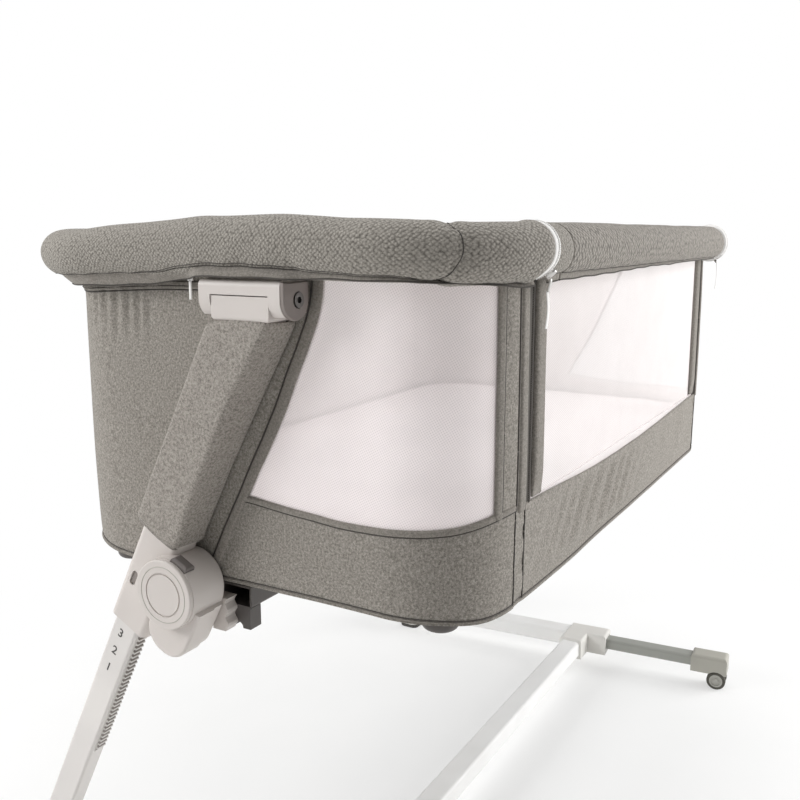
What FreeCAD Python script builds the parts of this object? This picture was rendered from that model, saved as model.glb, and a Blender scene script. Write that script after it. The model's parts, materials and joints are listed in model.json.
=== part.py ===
import FreeCAD, Part
import math
import os

# Bedside sleeper crib, real size in millimetres.
# X runs along the crib, Y runs across it (the bed side is -Y), Z is up and the floor is Z = 0.

Vec = FreeCAD.Vector

# ---------------------------------------------------------------- driving dimensions
# padded rim
rim_length = 930.0
rim_width = 546.0
rim_pad = 46.0
rim_top = 753.0
rim_corner = 100.0
rim_tube_dia = 20.0
rim_tube_wall = 1.5

# fabric basket below the rim
wall_inset_end = 40.0
wall_inset_side = 33.0
wall_corner = 88.0
wall_thick = 4.0
lining_thick = 2.0
net_thick = 1.6
basket_bottom = 416.0
bottom_thick = 8.0
sill_height = 508.0
board_thick = 6.0
mattress_thick = 56.0
mattress_gap = 5.0

# window in each end wall: the slanting edge follows the leg
window_low_y = -18.0
window_top_y = -103.0
window_round = 59.0

# bed side that folds down: what the fixed ends of the rim keep of its length
near_end_keep = 160.0
far_end_keep = 130.0
drop_gap = 1.5
drop_border = 17.0

# legs: one leaning leg at each end; n is measured across the leg and s up the leg
lean = 26.8
leg_outset = 4.0
tube_line = 267.3
inner_line = 271.5
leg_tube_wide = 42.0
leg_tube_deep = 27.0
leg_tube_wall = 1.6
inner_wide = 30.0
inner_deep = 20.0
rack_rise = 3.4
tooth_pitch = 5.625
tooth_depth = 2.4
inner_foot_s = -82.0
inner_top_s = 540.0
upper_low_s = 300.0
upper_top_s = 603.0
shoe_low_s = 281.0
shoe_top_s = 406.0
shoe_line = 267.0
shoe_wide = 47.0
shoe_deep = 31.0
sight_n = 278.0
sight_s = 332.0
sleeve_deep = 36.0
sleeve_low_wide = 73.0
sleeve_mid_wide = 64.0
sleeve_top_wide = 54.5
sleeve_low_s = 380.0
sleeve_top_z = 672.0
hem_low_y = 38.0
hem_low_z = 464.0

# round height hub on each leg
hub_n = 232.0
hub_s = 352.5
hub_radius = 34.0
hub_front = 25.0
hub_back = 18.0
hub_wall = 4.0
cover_thick = 4.0
pawl_n = 239.0
pawl_s = 333.0
pawl_pin = 3.5
pawl_thick = 8.0
lobe_low_n = 193.0
lobe_high_n = 243.0
lobe_low_s = 290.0
button_n = 231.0
button_wide = 19.0
button_deep = 12.0
button_low_s = 370.0
button_top_s = 389.5
button_travel = 4.0
arm_low_s = 366.0
arm_thick = 6.0

# hinge bracket between rim and leg
bracket_low_y = -86.0
bracket_high_y = -1.0
bracket_low_z = 679.0
bracket_top_z = 706.6
bracket_split_z = 694.5
pin_z = 691.0
pin_radius = 4.0
ear_thick = 12.0
cap_thick = 4.0

# base on the floor
bar_wide = 34.0
bar_high = 26.0
bar_wall = 1.6
bar_mid_z = 42.0
foot_inset = 20.0
foot_splay = 4.5
foot_reach = 302.0
tee_low_y = -101.0
tee_high_y = -33.0
cross_y = -52.0
cross_wide = 32.0
slide_wide = 26.0
slide_high = 18.0
slide_wall = 1.4
slide_inner_y = -22.0
cap_long = 57.0
cap_reach = 300.0
wheel_inset = 16.0
wheel_radius = 15.0
wheel_wide = 9.0
wheel_hub_radius = 10.5
fork_half = 4.5
axle_radius = 2.5

# rail under the basket
rail_low_y = -5.0
rail_wide = 41.0
rail_high = 22.0
rail_wall = 2.0
block_long = 16.0
block_low_y = -3.0
block_high_y = 27.0
block_drop = 21.0
under_foot_inset_x = 49.0
under_foot_inset_y = 54.0
under_foot_radius = 17.0
under_foot_high = 14.0

# clearances
fit_slide = 0.35
fit_turn = 0.05
fit_soft = 0.3

# ---------------------------------------------------------------- values that follow
rim_radius = rim_pad / 2.0
rim_mid_z = rim_top - rim_radius
rim_half_x = rim_length / 2.0 - rim_radius
rim_half_y = rim_width / 2.0 - rim_radius
wall_half_x = rim_length / 2.0 - wall_inset_end
wall_half_y = rim_width / 2.0 - wall_inset_side
wall_base = basket_bottom + bottom_thick
wall_head = rim_mid_z - 3.0
window_corner_x = wall_half_x - window_round
drop_near_x = near_end_keep - rim_length / 2.0
drop_far_x = rim_length / 2.0 - far_end_keep
leg_x = rim_half_x + leg_outset
foot_x = leg_x - foot_inset
cap_inner_y = cap_long - cap_reach
wheel_y = wheel_inset - cap_reach
pawl_nose_n = inner_line - inner_wide / 2.0 - 1.3
tee_mid_y = (tee_low_y + tee_high_y) / 2.0

NODES = {}


def put(name, *shapes):
    """Keep the shapes of one part under its own name."""
    solids = []
    for shape in shapes:
        solids.extend(shape.Solids)
    NODES[name] = solids[0] if len(solids) == 1 else Part.makeCompound(solids)


def far(shape):
    """Copy a shape of the -X end to the +X end."""
    return shape.mirror(Vec(0, 0, 0), Vec(1, 0, 0))


def leaning(shape):
    """Turn leg coordinates (x, n across the leg, s up the leg) into crib coordinates."""
    turned = shape.copy()
    turned.rotate(Vec(0, 0, 0), Vec(1, 0, 0), lean)
    return turned


def toed(shape):
    """Turn a shape on the -X foot bar so that the bed end points a little outwards."""
    turned = shape.copy()
    turned.rotate(Vec(-foot_x, tee_mid_y, 0), Vec(0, 0, 1), -foot_splay)
    return turned


def smooth_prism_x(curve_points, closing_points, x0, x1):
    """Prism along X bounded by a smooth curve and straight closing lines, from (y, z) points."""
    curve = Part.BSplineCurve()
    curve.interpolate([Vec(x0, y, z) for y, z in curve_points])
    edges = [curve.toShape()]
    corners = [curve_points[-1]] + closing_points + [curve_points[0]]
    for first, second in zip(corners, corners[1:]):
        edges.append(Part.makeLine(Vec(x0, first[0], first[1]), Vec(x0, second[0], second[1])))
    return Part.Face(Part.Wire(edges)).extrude(Vec(x1 - x0, 0, 0))


def block(x0, x1, y0, y1, z0, z1):
    """Plain block between two corners."""
    return Part.makeBox(x1 - x0, y1 - y0, z1 - z0, Vec(x0, y0, z0))


def round_loop(half_x, half_y, radius, z, mid_x=0.0, mid_y=0.0):
    """Rounded rectangle in a level plane, as a closed wire."""
    k = radius * math.sqrt(0.5)
    edges = []
    corners = [(1, 1), (-1, 1), (-1, -1), (1, -1)]
    ends = []
    for sx, sy in corners:
        cx = mid_x + sx * (half_x - radius)
        cy = mid_y + sy * (half_y - radius)
        on_x = Vec(cx + sx * radius, cy, z)
        on_y = Vec(cx, cy + sy * radius, z)
        first, last = (on_x, on_y) if sx * sy > 0 else (on_y, on_x)
        edges.append(Part.Arc(first, Vec(cx + sx * k, cy + sy * k, z), last).toShape())
        ends.append((first, last))
    for index in range(4):
        start = ends[index][1]
        stop = ends[(index + 1) % 4][0]
        if start.distanceToPoint(stop) > 1e-6:
            edges.append(Part.makeLine(start, stop))
    return Part.Wire(Part.sortEdges(edges)[0])


def round_prism(half_x, half_y, radius, z0, z1, mid_x=0.0, mid_y=0.0):
    """Upright solid with a rounded rectangular plan."""
    loop = round_loop(half_x, half_y, radius, z0, mid_x, mid_y)
    return Part.Face(loop).extrude(Vec(0, 0, z1 - z0))


def polygon_x(points, x0, x1):
    """Prism along X from (y, z) points."""
    loop = [Vec(x0, y, z) for y, z in points]
    loop.append(loop[0])
    return Part.Face(Part.makePolygon(loop)).extrude(Vec(x1 - x0, 0, 0))


def polygon_y(points, y0, y1):
    """Prism along Y from (x, z) points."""
    loop = [Vec(x, y0, z) for x, z in points]
    loop.append(loop[0])
    return Part.Face(Part.makePolygon(loop)).extrude(Vec(0, y1 - y0, 0))


def rod_x(radius, x0, x1, y, z):
    """Round bar along X."""
    return Part.makeCylinder(radius, x1 - x0, Vec(x0, y, z), Vec(1, 0, 0))


def rod_y(radius, y0, y1, x, z):
    """Round bar along Y."""
    return Part.makeCylinder(radius, y1 - y0, Vec(x, y0, z), Vec(0, 1, 0))


def soft_edges(shape, radius, test):
    """Round the edges whose middle point passes the test."""
    picked = []
    for edge in shape.Edges:
        middle = edge.valueAt((edge.FirstParameter + edge.LastParameter) / 2.0)
        if test(middle, edge):
            picked.append(edge)
    return shape.makeFillet(radius, picked) if picked else shape


def bar_tube_y(x, wide, high, wall, y0, y1):
    """Rectangular tube with rounded corners along Y, centred on the base height."""
    outer = round_prism(wide / 2.0, high / 2.0, 5.0, 0.0, y1 - y0)
    inner = round_prism(wide / 2.0 - wall, high / 2.0 - wall, 5.0 - wall, 0.0, y1 - y0)
    tube = outer.cut(inner)
    tube.rotate(Vec(0, 0, 0), Vec(1, 0, 0), -90.0)
    tube.translate(Vec(x, y0, bar_mid_z))
    return tube


# ---------------------------------------------------------------- padded rim
def rim_end_path():
    """Centre line of the rim round the -X end, from the bed side to the back."""
    cx = rim_half_x - rim_corner
    cy = rim_half_y - rim_corner
    k = rim_corner * math.sqrt(0.5)
    z = rim_mid_z
    a = Vec(drop_near_x, -rim_half_y, z)
    b = Vec(-cx, -rim_half_y, z)
    c = Vec(-rim_half_x, -cy, z)
    d = Vec(-rim_half_x, cy, z)
    e = Vec(-cx, rim_half_y, z)
    f = Vec(drop_near_x, rim_half_y, z)
    return Part.Wire([
        Part.makeLine(a, b),
        Part.Arc(b, Vec(-cx - k, -cy - k, z), c).toShape(),
        Part.makeLine(c, d),
        Part.Arc(d, Vec(-cx - k, cy + k, z), e).toShape(),
        Part.makeLine(e, f),
    ])


def rim_end_bar(radius):
    """Round bar that follows the rim round the -X end."""
    path = rim_end_path()
    profile = Part.Wire([Part.makeCircle(radius, Vec(drop_near_x, -rim_half_y, rim_mid_z), Vec(1, 0, 0))])
    return path.makePipeShell([profile], True, True)


def rim_parts():
    """Bent frame tube and the padded covers round it."""
    end_pad = rim_end_bar(rim_radius)
    end_core = rim_end_bar(rim_tube_dia / 2.0)
    end_bore = rim_end_bar(rim_tube_dia / 2.0 - rim_tube_wall)
    reach = -drop_near_x
    beyond = drop_far_x - reach
    # the far corner covers start at the far end of the bed side opening
    trim = block(reach - 1.0, reach + beyond, -rim_half_y - 40.0, -rim_half_y + 40.0, rim_mid_z - 40.0, rim_mid_z + 40.0)
    tube_near = end_core.cut(end_bore)
    tube_far = far(tube_near).cut(trim)
    tube_back = rod_x(rim_tube_dia / 2.0, -reach, reach, rim_half_y, rim_mid_z)
    tube_back = tube_back.cut(rod_x(rim_tube_dia / 2.0 - rim_tube_wall, -reach, reach, rim_half_y, rim_mid_z))
    put("rim_tube", tube_near.fuse([tube_back, tube_far]).removeSplitter())
    cover = end_pad.cut(end_core).cut(bracket_core(0.0))
    put("rim_cover_near", cover)
    put("rim_cover_far", far(cover).cut(trim))
    back = rod_x(rim_radius, -reach, reach, rim_half_y, rim_mid_z)
    put("rim_cover_back", back.cut(rod_x(rim_tube_dia / 2.0, -reach, reach, rim_half_y, rim_mid_z)))
    x0 = drop_near_x + drop_gap
    x1 = drop_far_x - drop_gap
    rail = rod_x(rim_radius, x0, x1, -rim_half_y, rim_mid_z)
    rail = rail.cut(rod_x(rim_tube_dia / 2.0, x0, x1, -rim_half_y, rim_mid_z))
    put("drop_rail_cover", rail)
    tube = rod_x(rim_tube_dia / 2.0, x0 + 2.0, x1 - 2.0, -rim_half_y, rim_mid_z)
    tube = tube.cut(rod_x(rim_tube_dia / 2.0 - rim_tube_wall, x0 + 8.0, x1 - 8.0, -rim_half_y, rim_mid_z))
    put("drop_rail_tube", tube)
    return end_pad


# ---------------------------------------------------------------- hinge bracket and leg head
def bracket_core(grow):
    """Clamp round the rim tube with the neck that comes down through the padding."""
    mid = -rim_half_x
    clamp = rod_y(16.0 + grow, bracket_low_y, bracket_high_y, mid, rim_mid_z)
    neck = block(mid - 13.0, mid + 9.0, bracket_low_y, bracket_high_y, bracket_top_z - 4.0, rim_mid_z)
    return clamp.fuse(neck)


def hinge_parts():
    """Bracket on the rim, head of the leg, side cap and cross bolt."""
    mid = -leg_x
    front = mid - 20.0
    back = mid + 15.0
    gap = 0.4
    ear_in_low = bracket_low_y + ear_thick
    ear_in_high = bracket_high_y - ear_thick
    body = block(front, back, bracket_low_y, bracket_high_y, bracket_split_z, bracket_top_z)
    body = soft_edges(body, 5.0, lambda m, e: abs(m.z - bracket_top_z) < 0.01 and m.x < front + 0.01)
    ears = []
    for y0, y1 in ((bracket_low_y, ear_in_low), (ear_in_high, bracket_high_y)):
        ear = block(front, back, y0, y1, pin_z, bracket_split_z)
        ear = ear.fuse(rod_y(17.5, y0, y1, mid - 2.5, pin_z).common(block(front, back, y0, y1, pin_z - 14.0, pin_z)))
        ears.append(ear)
    bracket = body.fuse(ears).fuse(bracket_core(0.0))
    bracket = bracket.cut(rod_y(rim_tube_dia / 2.0, bracket_low_y, bracket_high_y, -rim_half_x, rim_mid_z))
    bracket = bracket.cut(rod_y(pin_radius + fit_turn, bracket_low_y, bracket_high_y, mid, pin_z))
    bracket = bracket.removeSplitter()
    put("rim_bracket_near", bracket)
    put("rim_bracket_far", far(bracket))

    head_low = sleeve_top_z + 0.6
    head = block(front + 1.0, back - 1.0, ear_in_low + gap, ear_in_high - gap, head_low, bracket_split_z - 1.0)
    head = soft_edges(head, 4.0, lambda m, e: abs(m.z - head_low) < 0.01)
    plug = round_prism(leg_tube_deep / 2.0 - leg_tube_wall, leg_tube_wide / 2.0 - leg_tube_wall, 5.0 - leg_tube_wall,
                       upper_top_s - 12.0, upper_top_s, mid, tube_line)
    head = head.fuse([leaning(plug), leaning(head_collar(0.0))]).removeSplitter()
    above = bracket_top_z + 90.0
    head = head.cut(block(front - 5.0, back + 5.0, bracket_low_y - 40.0, bracket_high_y + 60.0, bracket_split_z - 0.6, above))
    for y0, y1 in ((bracket_low_y - 20.0, ear_in_low + gap), (ear_in_high - gap, bracket_high_y + 40.0)):
        head = head.cut(block(front - 5.0, back + 5.0, y0, y1, pin_z - 14.4, above))
    head = head.cut(rod_y(pin_radius + fit_turn, bracket_low_y, bracket_high_y, mid, pin_z))
    put("leg_head_near", head)
    put("leg_head_far", far(head))

    cap_y = bracket_low_y - cap_thick
    cap = rod_y(17.0, cap_y, bracket_low_y, mid - 2.5, pin_z)
    cap = cap.common(block(mid - 30.0, mid + 30.0, cap_y, bracket_low_y, 0.0, pin_z))
    cap = cap.fuse(block(mid - 19.5, mid + 14.5, cap_y, bracket_low_y, pin_z, bracket_top_z - 1.0))
    cap = cap.removeSplitter()
    cap = soft_edges(cap, 1.2, lambda m, e: abs(m.y - cap_y) < 0.01)
    cap = cap.cut(rod_y(7.0, cap_y - 1.0, cap_y + 3.0, mid, pin_z))
    cap = cap.cut(rod_y(pin_radius, cap_y, bracket_low_y, mid, pin_z))
    put("hinge_caps", cap, far(cap))

    bolt = rod_y(pin_radius, cap_y + 2.0, bracket_high_y - 1.0, mid, pin_z)
    bolt = bolt.fuse(rod_y(6.4, cap_y - 1.0, cap_y + 3.0, mid, pin_z))
    socket = []
    for turn in range(7):
        angle = math.radians(60.0 * turn)
        socket.append(Vec(mid + 3.0 * math.cos(angle), cap_y - 1.5, pin_z + 3.0 * math.sin(angle)))
    bolt = bolt.cut(Part.Face(Part.makePolygon(socket)).extrude(Vec(0, 3.0, 0)))
    put("hinge_bolts", bolt, far(bolt))


def head_collar(grow):
    """Collar of the leg head above the upper tube, in leg coordinates."""
    return round_prism(14.0 + grow, 23.0 + grow, 7.0, upper_top_s, upper_top_s + 48.0, -leg_x, tube_line - 4.0)


# ---------------------------------------------------------------- upper leg
def upper_leg_parts():
    """Upper tube, padded fabric sleeve and the moulded shoe with the height hub."""
    mid = -leg_x
    skin = round_prism(leg_tube_deep / 2.0, leg_tube_wide / 2.0, 5.0, upper_low_s, upper_top_s, mid, tube_line)
    hollow = round_prism(leg_tube_deep / 2.0 - leg_tube_wall, leg_tube_wide / 2.0 - leg_tube_wall,
                         5.0 - leg_tube_wall, upper_low_s, upper_top_s, mid, tube_line)
    tube = skin.cut(hollow)
    slot_half = pawl_thick / 2.0 + 1.5
    tube_low_n = tube_line - leg_tube_wide / 2.0
    tube = tube.cut(block(mid - slot_half, mid + slot_half, tube_low_n - 1.0, tube_low_n + 3.0, hub_s - 16.0, hub_s + 16.0))
    put("upper_tube_near", leaning(tube))
    put("upper_tube_far", far(leaning(tube)))

    shoe = round_prism(shoe_deep / 2.0, shoe_wide / 2.0, 7.0, shoe_low_s, shoe_top_s, mid, shoe_line)
    sections = []
    steps = ((0.0, sleeve_low_wide, 8.3), (120.0, sleeve_mid_wide, 6.3), (280.0, sleeve_top_wide, 4.0))
    for rise, wide, toward_bed in steps:
        sections.append(round_loop(sleeve_deep / 2.0, wide / 2.0, 11.0, sleeve_low_s + rise, mid, tube_line - toward_bed))
    sleeve = Part.makeLoft(sections, True, True)
    sleeve = sleeve.cut(skin).cut(head_collar(0.2)).cut(shoe)
    sleeve = leaning(sleeve)
    sleeve = sleeve.cut(block(mid - 60.0, mid + 60.0, -200.0, 200.0, sleeve_top_z, sleeve_top_z + 200.0))
    # the hem is a rounded tongue that hangs lower on the bed side
    tongue = ((77.0, 48.0), (46.0, 25.0), (24.0, 8.0), (0.0, 0.0), (-23.0, 2.0), (-41.0, 10.0), (-68.0, 36.0))
    hem = [(hem_low_y + dy, hem_low_z + dz) for dy, dz in tongue]
    floor_z = hem_low_z - 84.0
    below = smooth_prism_x(hem, [(hem[-1][0], floor_z), (hem[0][0], floor_z)], mid - 60.0, mid + 60.0)
    sleeve = sleeve.cut(below)
    put("leg_sleeve_near", sleeve)
    put("leg_sleeve_far", far(sleeve))

    hub = rod_x(hub_radius, mid - hub_front, mid + hub_back, hub_n, hub_s)
    hub = soft_edges(hub, 3.0, lambda m, e: abs(m.x - (mid + hub_back)) < 0.01 and e.Length > 50.0)
    # rounded lobe below the drum, in a wide front shell and a slightly smaller back shell
    lobes = []
    for x0, x1, inward in ((mid - 20.0, mid + 1.0, 0.0), (mid + 1.0, mid + hub_back - 3.0, 1.4)):
        lobe = block(x0, x1, lobe_low_n + inward, lobe_high_n - inward, lobe_low_s + inward, hub_s)
        low = lobe_low_s + inward
        lobe = soft_edges(lobe, 23.0, lambda m, e: abs(m.z - low) < 0.01 and abs(e.Length - x1 + x0) < 0.01)
        edge_x = x0 if inward == 0.0 else x1
        lobe = soft_edges(lobe, 3.0, lambda m, e: abs(m.x - edge_x) < 0.01 and m.z < hub_s - 1.0)
        lobes.append(lobe)
    web = block(mid - 15.0, mid + 15.0, hub_n, shoe_line, hub_s - 26.0, hub_s + 24.0)
    housing = shoe.fuse([hub, web] + lobes).removeSplitter()
    housing = housing.cut(skin)
    # sight slot beside the drum
    sight = block(mid - 30.0, mid, sight_n - 3.5, sight_n + 3.5, sight_s - 8.0, sight_s + 8.0)
    housing = housing.cut(soft_edges(sight, 3.3, lambda m, e: abs(e.Length - 30.0) < 0.01))
    # way through for the inner leg and its rack, with running clearance
    n_low = inner_line - inner_wide / 2.0 - rack_rise - 1.0
    n_high = inner_line + inner_wide / 2.0 + fit_slide
    way = round_prism(inner_deep / 2.0 + fit_slide, (n_high - n_low) / 2.0, 3.0, shoe_low_s - 1.0, upper_low_s + 1.0,
                      mid, (n_low + n_high) / 2.0)
    housing = housing.cut(way)
    # room for the pawl, open at the front under the round cover
    pocket = rod_x(hub_radius - hub_wall, mid - hub_front - 1.0, mid + hub_back - hub_wall, hub_n, hub_s)
    housing = housing.cut(pocket)
    # slot for the release button
    button_x = mid - hub_front + 0.5
    slot = block(mid - hub_front - 1.0, button_x + button_deep + fit_slide,
                 button_n - button_wide / 2.0 - fit_slide, button_n + button_wide / 2.0 + fit_slide,
                 hub_s + 10.0, hub_s + 60.0)
    housing = housing.cut(slot)
    stop_back = mid + hub_back - hub_wall
    pin = rod_x(pawl_pin, mid - pawl_thick, stop_back + 1.0, pawl_n, pawl_s)
    shelf = block(mid + 5.0, stop_back + 1.0, pawl_n - 17.0, pawl_n - 5.0, pawl_s + 2.0, pawl_s + 8.5)
    housing = housing.fuse([pin, shelf])
    put("hub_housing_near", leaning(housing))
    put("hub_housing_far", far(leaning(housing)))

    front = mid - hub_front
    cover = rod_x(hub_radius - 0.8, front - cover_thick, front, hub_n, hub_s)
    cover = soft_edges(cover, 1.5, lambda m, e: abs(m.x - (front - cover_thick)) < 0.01 and e.Length > 50.0)
    plug = rod_x(hub_radius - hub_wall - 0.1, front, front + 3.0, hub_n, hub_s)
    plug = plug.cut(block(front - 1.0, front + 4.0, button_n - button_wide / 2.0 - 1.0, button_n + button_wide / 2.0 + 1.0,
                          button_low_s - button_travel - 1.0, hub_s + 60.0))
    cover = cover.fuse(plug)
    ring = rod_x(21.0, front - cover_thick - 1.0, front - cover_thick + 1.2, hub_n, hub_s)
    ring = ring.cut(rod_x(19.5, front - cover_thick - 1.0, front - cover_thick + 1.2, hub_n, hub_s))
    cover = cover.cut(ring)
    put("hub_covers", leaning(cover), far(leaning(cover)))


def release_parts():
    """Pawl, press button and return spring inside each hub."""
    mid = -leg_x
    half = pawl_thick / 2.0
    tail_n = pawl_n - 17.0
    outline = [
        (pawl_n + 4.0, pawl_s - 4.0), (pawl_nose_n - 6.0, hub_s - 6.0), (pawl_nose_n - 2.2, hub_s - 1.5),
        (pawl_nose_n, hub_s - 0.5), (pawl_nose_n, hub_s + 0.5), (pawl_nose_n - 2.2, hub_s + 1.5),
        (pawl_nose_n - 9.0, hub_s + 1.6), (tail_n + 2.0, hub_s + 3.5), (tail_n - 5.0, hub_s + 0.5),
        (tail_n - 5.0, hub_s - 5.0), (pawl_n - 9.0, hub_s - 8.5), (pawl_n - 6.0, pawl_s + 1.0),
    ]
    pawl = polygon_x(outline, mid - half, mid + half)
    pawl = pawl.fuse(rod_x(6.5, mid - half, mid + half, pawl_n, pawl_s))
    pawl = pawl.cut(rod_x(pawl_pin + fit_turn, mid - half, mid + half, pawl_n, pawl_s))
    put("pawl_near", leaning(pawl))
    put("pawl_far", far(leaning(pawl)))

    # the button reaches back inside the drum with an arm, whose finger stands on the tail of the pawl
    button_x = mid - hub_front + 0.5
    button = block(button_x, button_x + button_deep, button_n - button_wide / 2.0, button_n + button_wide / 2.0,
                   button_low_s, button_top_s)
    button = soft_edges(button, 3.0, lambda m, e: m.z > button_top_s - 0.01)
    arm_low_n = tail_n - 8.0
    arm = block(button_x + 4.5, mid + hub_back - hub_wall - 0.5, arm_low_n, button_n + 2.0, arm_low_s, arm_low_s + arm_thick)
    finger = block(mid - half, mid + half, arm_low_n, tail_n - 1.5, hub_s + 3.8, arm_low_s + 1.0)
    button = button.fuse([arm, finger]).removeSplitter()
    put("release_button_near", leaning(button))
    put("release_button_far", far(leaning(button)))

    spring_low = pawl_s + 8.5
    length = arm_low_s - spring_low
    coil = Part.makeHelix(length / 5.0, length, 3.2)
    start = Part.Wire([Part.makeCircle(0.6, Vec(3.2, 0, 0), Vec(0, 1, 0))])
    spring = Part.Wire(coil).makePipeShell([start], True, True)
    spring.translate(Vec(mid + 9.2, pawl_n - 11.0, spring_low))
    for low in (spring_low - 9.0, arm_low_s):
        spring = spring.cut(block(mid, mid + 20.0, pawl_n - 25.0, pawl_n + 5.0, low, low + 9.0))
    put("button_spring_near", leaning(spring))
    put("button_spring_far", far(leaning(spring)))


# ---------------------------------------------------------------- inner leg
def inner_leg_parts():
    """Inner leg with its toothed edge, and the guide at its top."""
    mid = -leg_x
    n0 = inner_line - inner_wide / 2.0
    skin = round_prism(inner_deep / 2.0, inner_wide / 2.0, 3.0, inner_foot_s, inner_top_s, mid, inner_line)
    hollow = round_prism(inner_deep / 2.0 - 1.8, inner_wide / 2.0 - 1.8, 1.2, inner_foot_s, inner_top_s, mid, inner_line)
    leg = skin.cut(hollow)
    count = 62
    start = hub_s - tooth_pitch * 43.0
    tip = n0 - rack_rise
    root = tip + tooth_depth
    outline = [(n0 + 0.6, start - 4.0), (root, start - 4.0)]
    for index in range(count):
        s = start + index * tooth_pitch
        outline.append((root, s + 0.9))
        outline.append((tip, s + 2.2))
        outline.append((tip, s + tooth_pitch - 2.2))
        outline.append((root, s + tooth_pitch - 0.9))
    outline.append((root, start + count * tooth_pitch + 2.0))
    outline.append((n0 + 0.6, start + count * tooth_pitch + 2.0))
    rack = polygon_x(outline, mid - 5.0, mid + 5.0)
    leg = leg.fuse(rack)
    put("lower_leg_near", leaning(leg))
    put("lower_leg_far", far(leaning(leg)))

    guide = round_prism(leg_tube_deep / 2.0 - leg_tube_wall - fit_slide, leg_tube_wide / 2.0 - leg_tube_wall - fit_slide,
                        3.0, inner_top_s - 20.0, inner_top_s + 3.0, mid, tube_line)
    guide = guide.cut(skin)
    put("leg_guides", leaning(guide), far(leaning(guide)))
    return skin


# ---------------------------------------------------------------- base on the floor
def base_parts(leg_skin):
    """Foot bars, cross bar, moulded joints and rubber feet."""
    mid = -foot_x
    low = bar_mid_z - bar_high / 2.0
    high = bar_mid_z + bar_high / 2.0
    bar_end = foot_reach - 10.0
    bar = toed(bar_tube_y(mid, bar_wide, bar_high, bar_wall, tee_low_y + 3.0, bar_end))
    bar_room = block(mid - bar_wide / 2.0, mid + bar_wide / 2.0, tee_low_y + 3.0, bar_end, low, high)
    bar_room = soft_edges(bar_room, 5.0, lambda m, e: abs(e.Length - (bar_end - tee_low_y - 3.0)) < 0.01)
    bar_room = toed(bar_room)
    put("foot_bar_near", bar)
    put("foot_bar_far", far(bar))

    # the rear moulding carries the leg outside and the foot bar inside
    wall = 3.5
    swing = math.tan(math.radians(foot_splay)) * (foot_reach - tee_mid_y)
    inside = mid + swing + bar_wide / 2.0 + wall
    outside = -leg_x - 16.5
    foot_y = foot_reach - 62.0
    foot = block(outside, inside, foot_y, foot_reach, low - wall, high + wall)
    foot = soft_edges(foot, 7.0, lambda m, e: m.z > high + wall - 0.01 or (m.y > foot_reach - 0.01 and m.z > low))
    socket = round_prism(15.5, inner_wide / 2.0 + 5.5, 6.0, inner_foot_s - 12.0, -18.0, -leg_x, inner_line)
    socket = soft_edges(socket, 2.0, lambda m, e: m.z > -18.01)
    post_x = (outside + inside) / 2.0
    post = round_prism(30.0, 17.0, 10.0, 6.0, low - wall + 1.0, post_x, foot_reach - 24.0)
    catch = block(outside - 50.0, 0.0, foot_y - 90.0, foot_reach, low, high + 245.0)
    foot = foot.fuse([leaning(socket).common(catch), post])
    foot = foot.removeSplitter().cut(bar_room).cut(leaning(leg_skin))
    put("leg_foot_near", foot)
    put("leg_foot_far", far(foot))
    pad = round_prism(31.0, 18.0, 10.5, 0.0, 6.0, post_x, foot_reach - 24.0)
    pad = soft_edges(pad, 1.5, lambda m, e: m.z < 0.01)
    put("rear_pads", pad, far(pad))

    cross_low = cross_y - cross_wide / 2.0
    cross_high = cross_y + cross_wide / 2.0
    cross_start = mid + bar_wide / 2.0 + 4.0
    tee = block(mid - bar_wide / 2.0 - wall, mid + bar_wide / 2.0 + wall, tee_low_y, tee_high_y, low - wall, high + wall)
    tee = toed(soft_edges(tee, 5.0, lambda m, e: m.z > high + wall - 0.01))
    arm = block(mid, mid + 54.0, cross_low - wall, cross_high + wall, low - wall, high + wall)
    arm = soft_edges(arm, 5.0, lambda m, e: m.z > high + wall - 0.01 and m.x > mid + 1.0)
    tee = tee.fuse(arm).removeSplitter()
    tee = tee.cut(bar_room)
    slide_room = block(mid - slide_wide / 2.0 - fit_slide, mid + slide_wide / 2.0 + fit_slide, tee_low_y - 1.0,
                       tee_low_y + 4.0, bar_mid_z - slide_high / 2.0 - fit_slide, bar_mid_z + slide_high / 2.0 + fit_slide)
    tee = tee.cut(toed(slide_room))
    cross_room = block(cross_start, -cross_start, cross_low, cross_high, low, high)
    cross_room = soft_edges(cross_room, 5.0, lambda m, e: abs(m.x) < 0.01)
    tee = tee.cut(cross_room)
    put("tee_joint_near", tee)
    put("tee_joint_far", far(tee))
    inner = block(cross_start - 1.0, 1.0 - cross_start, cross_low + bar_wall, cross_high - bar_wall, low + bar_wall, high - bar_wall)
    inner = soft_edges(inner, 3.4, lambda m, e: abs(m.x) < 0.01)
    put("cross_bar", cross_room.cut(inner))


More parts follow.
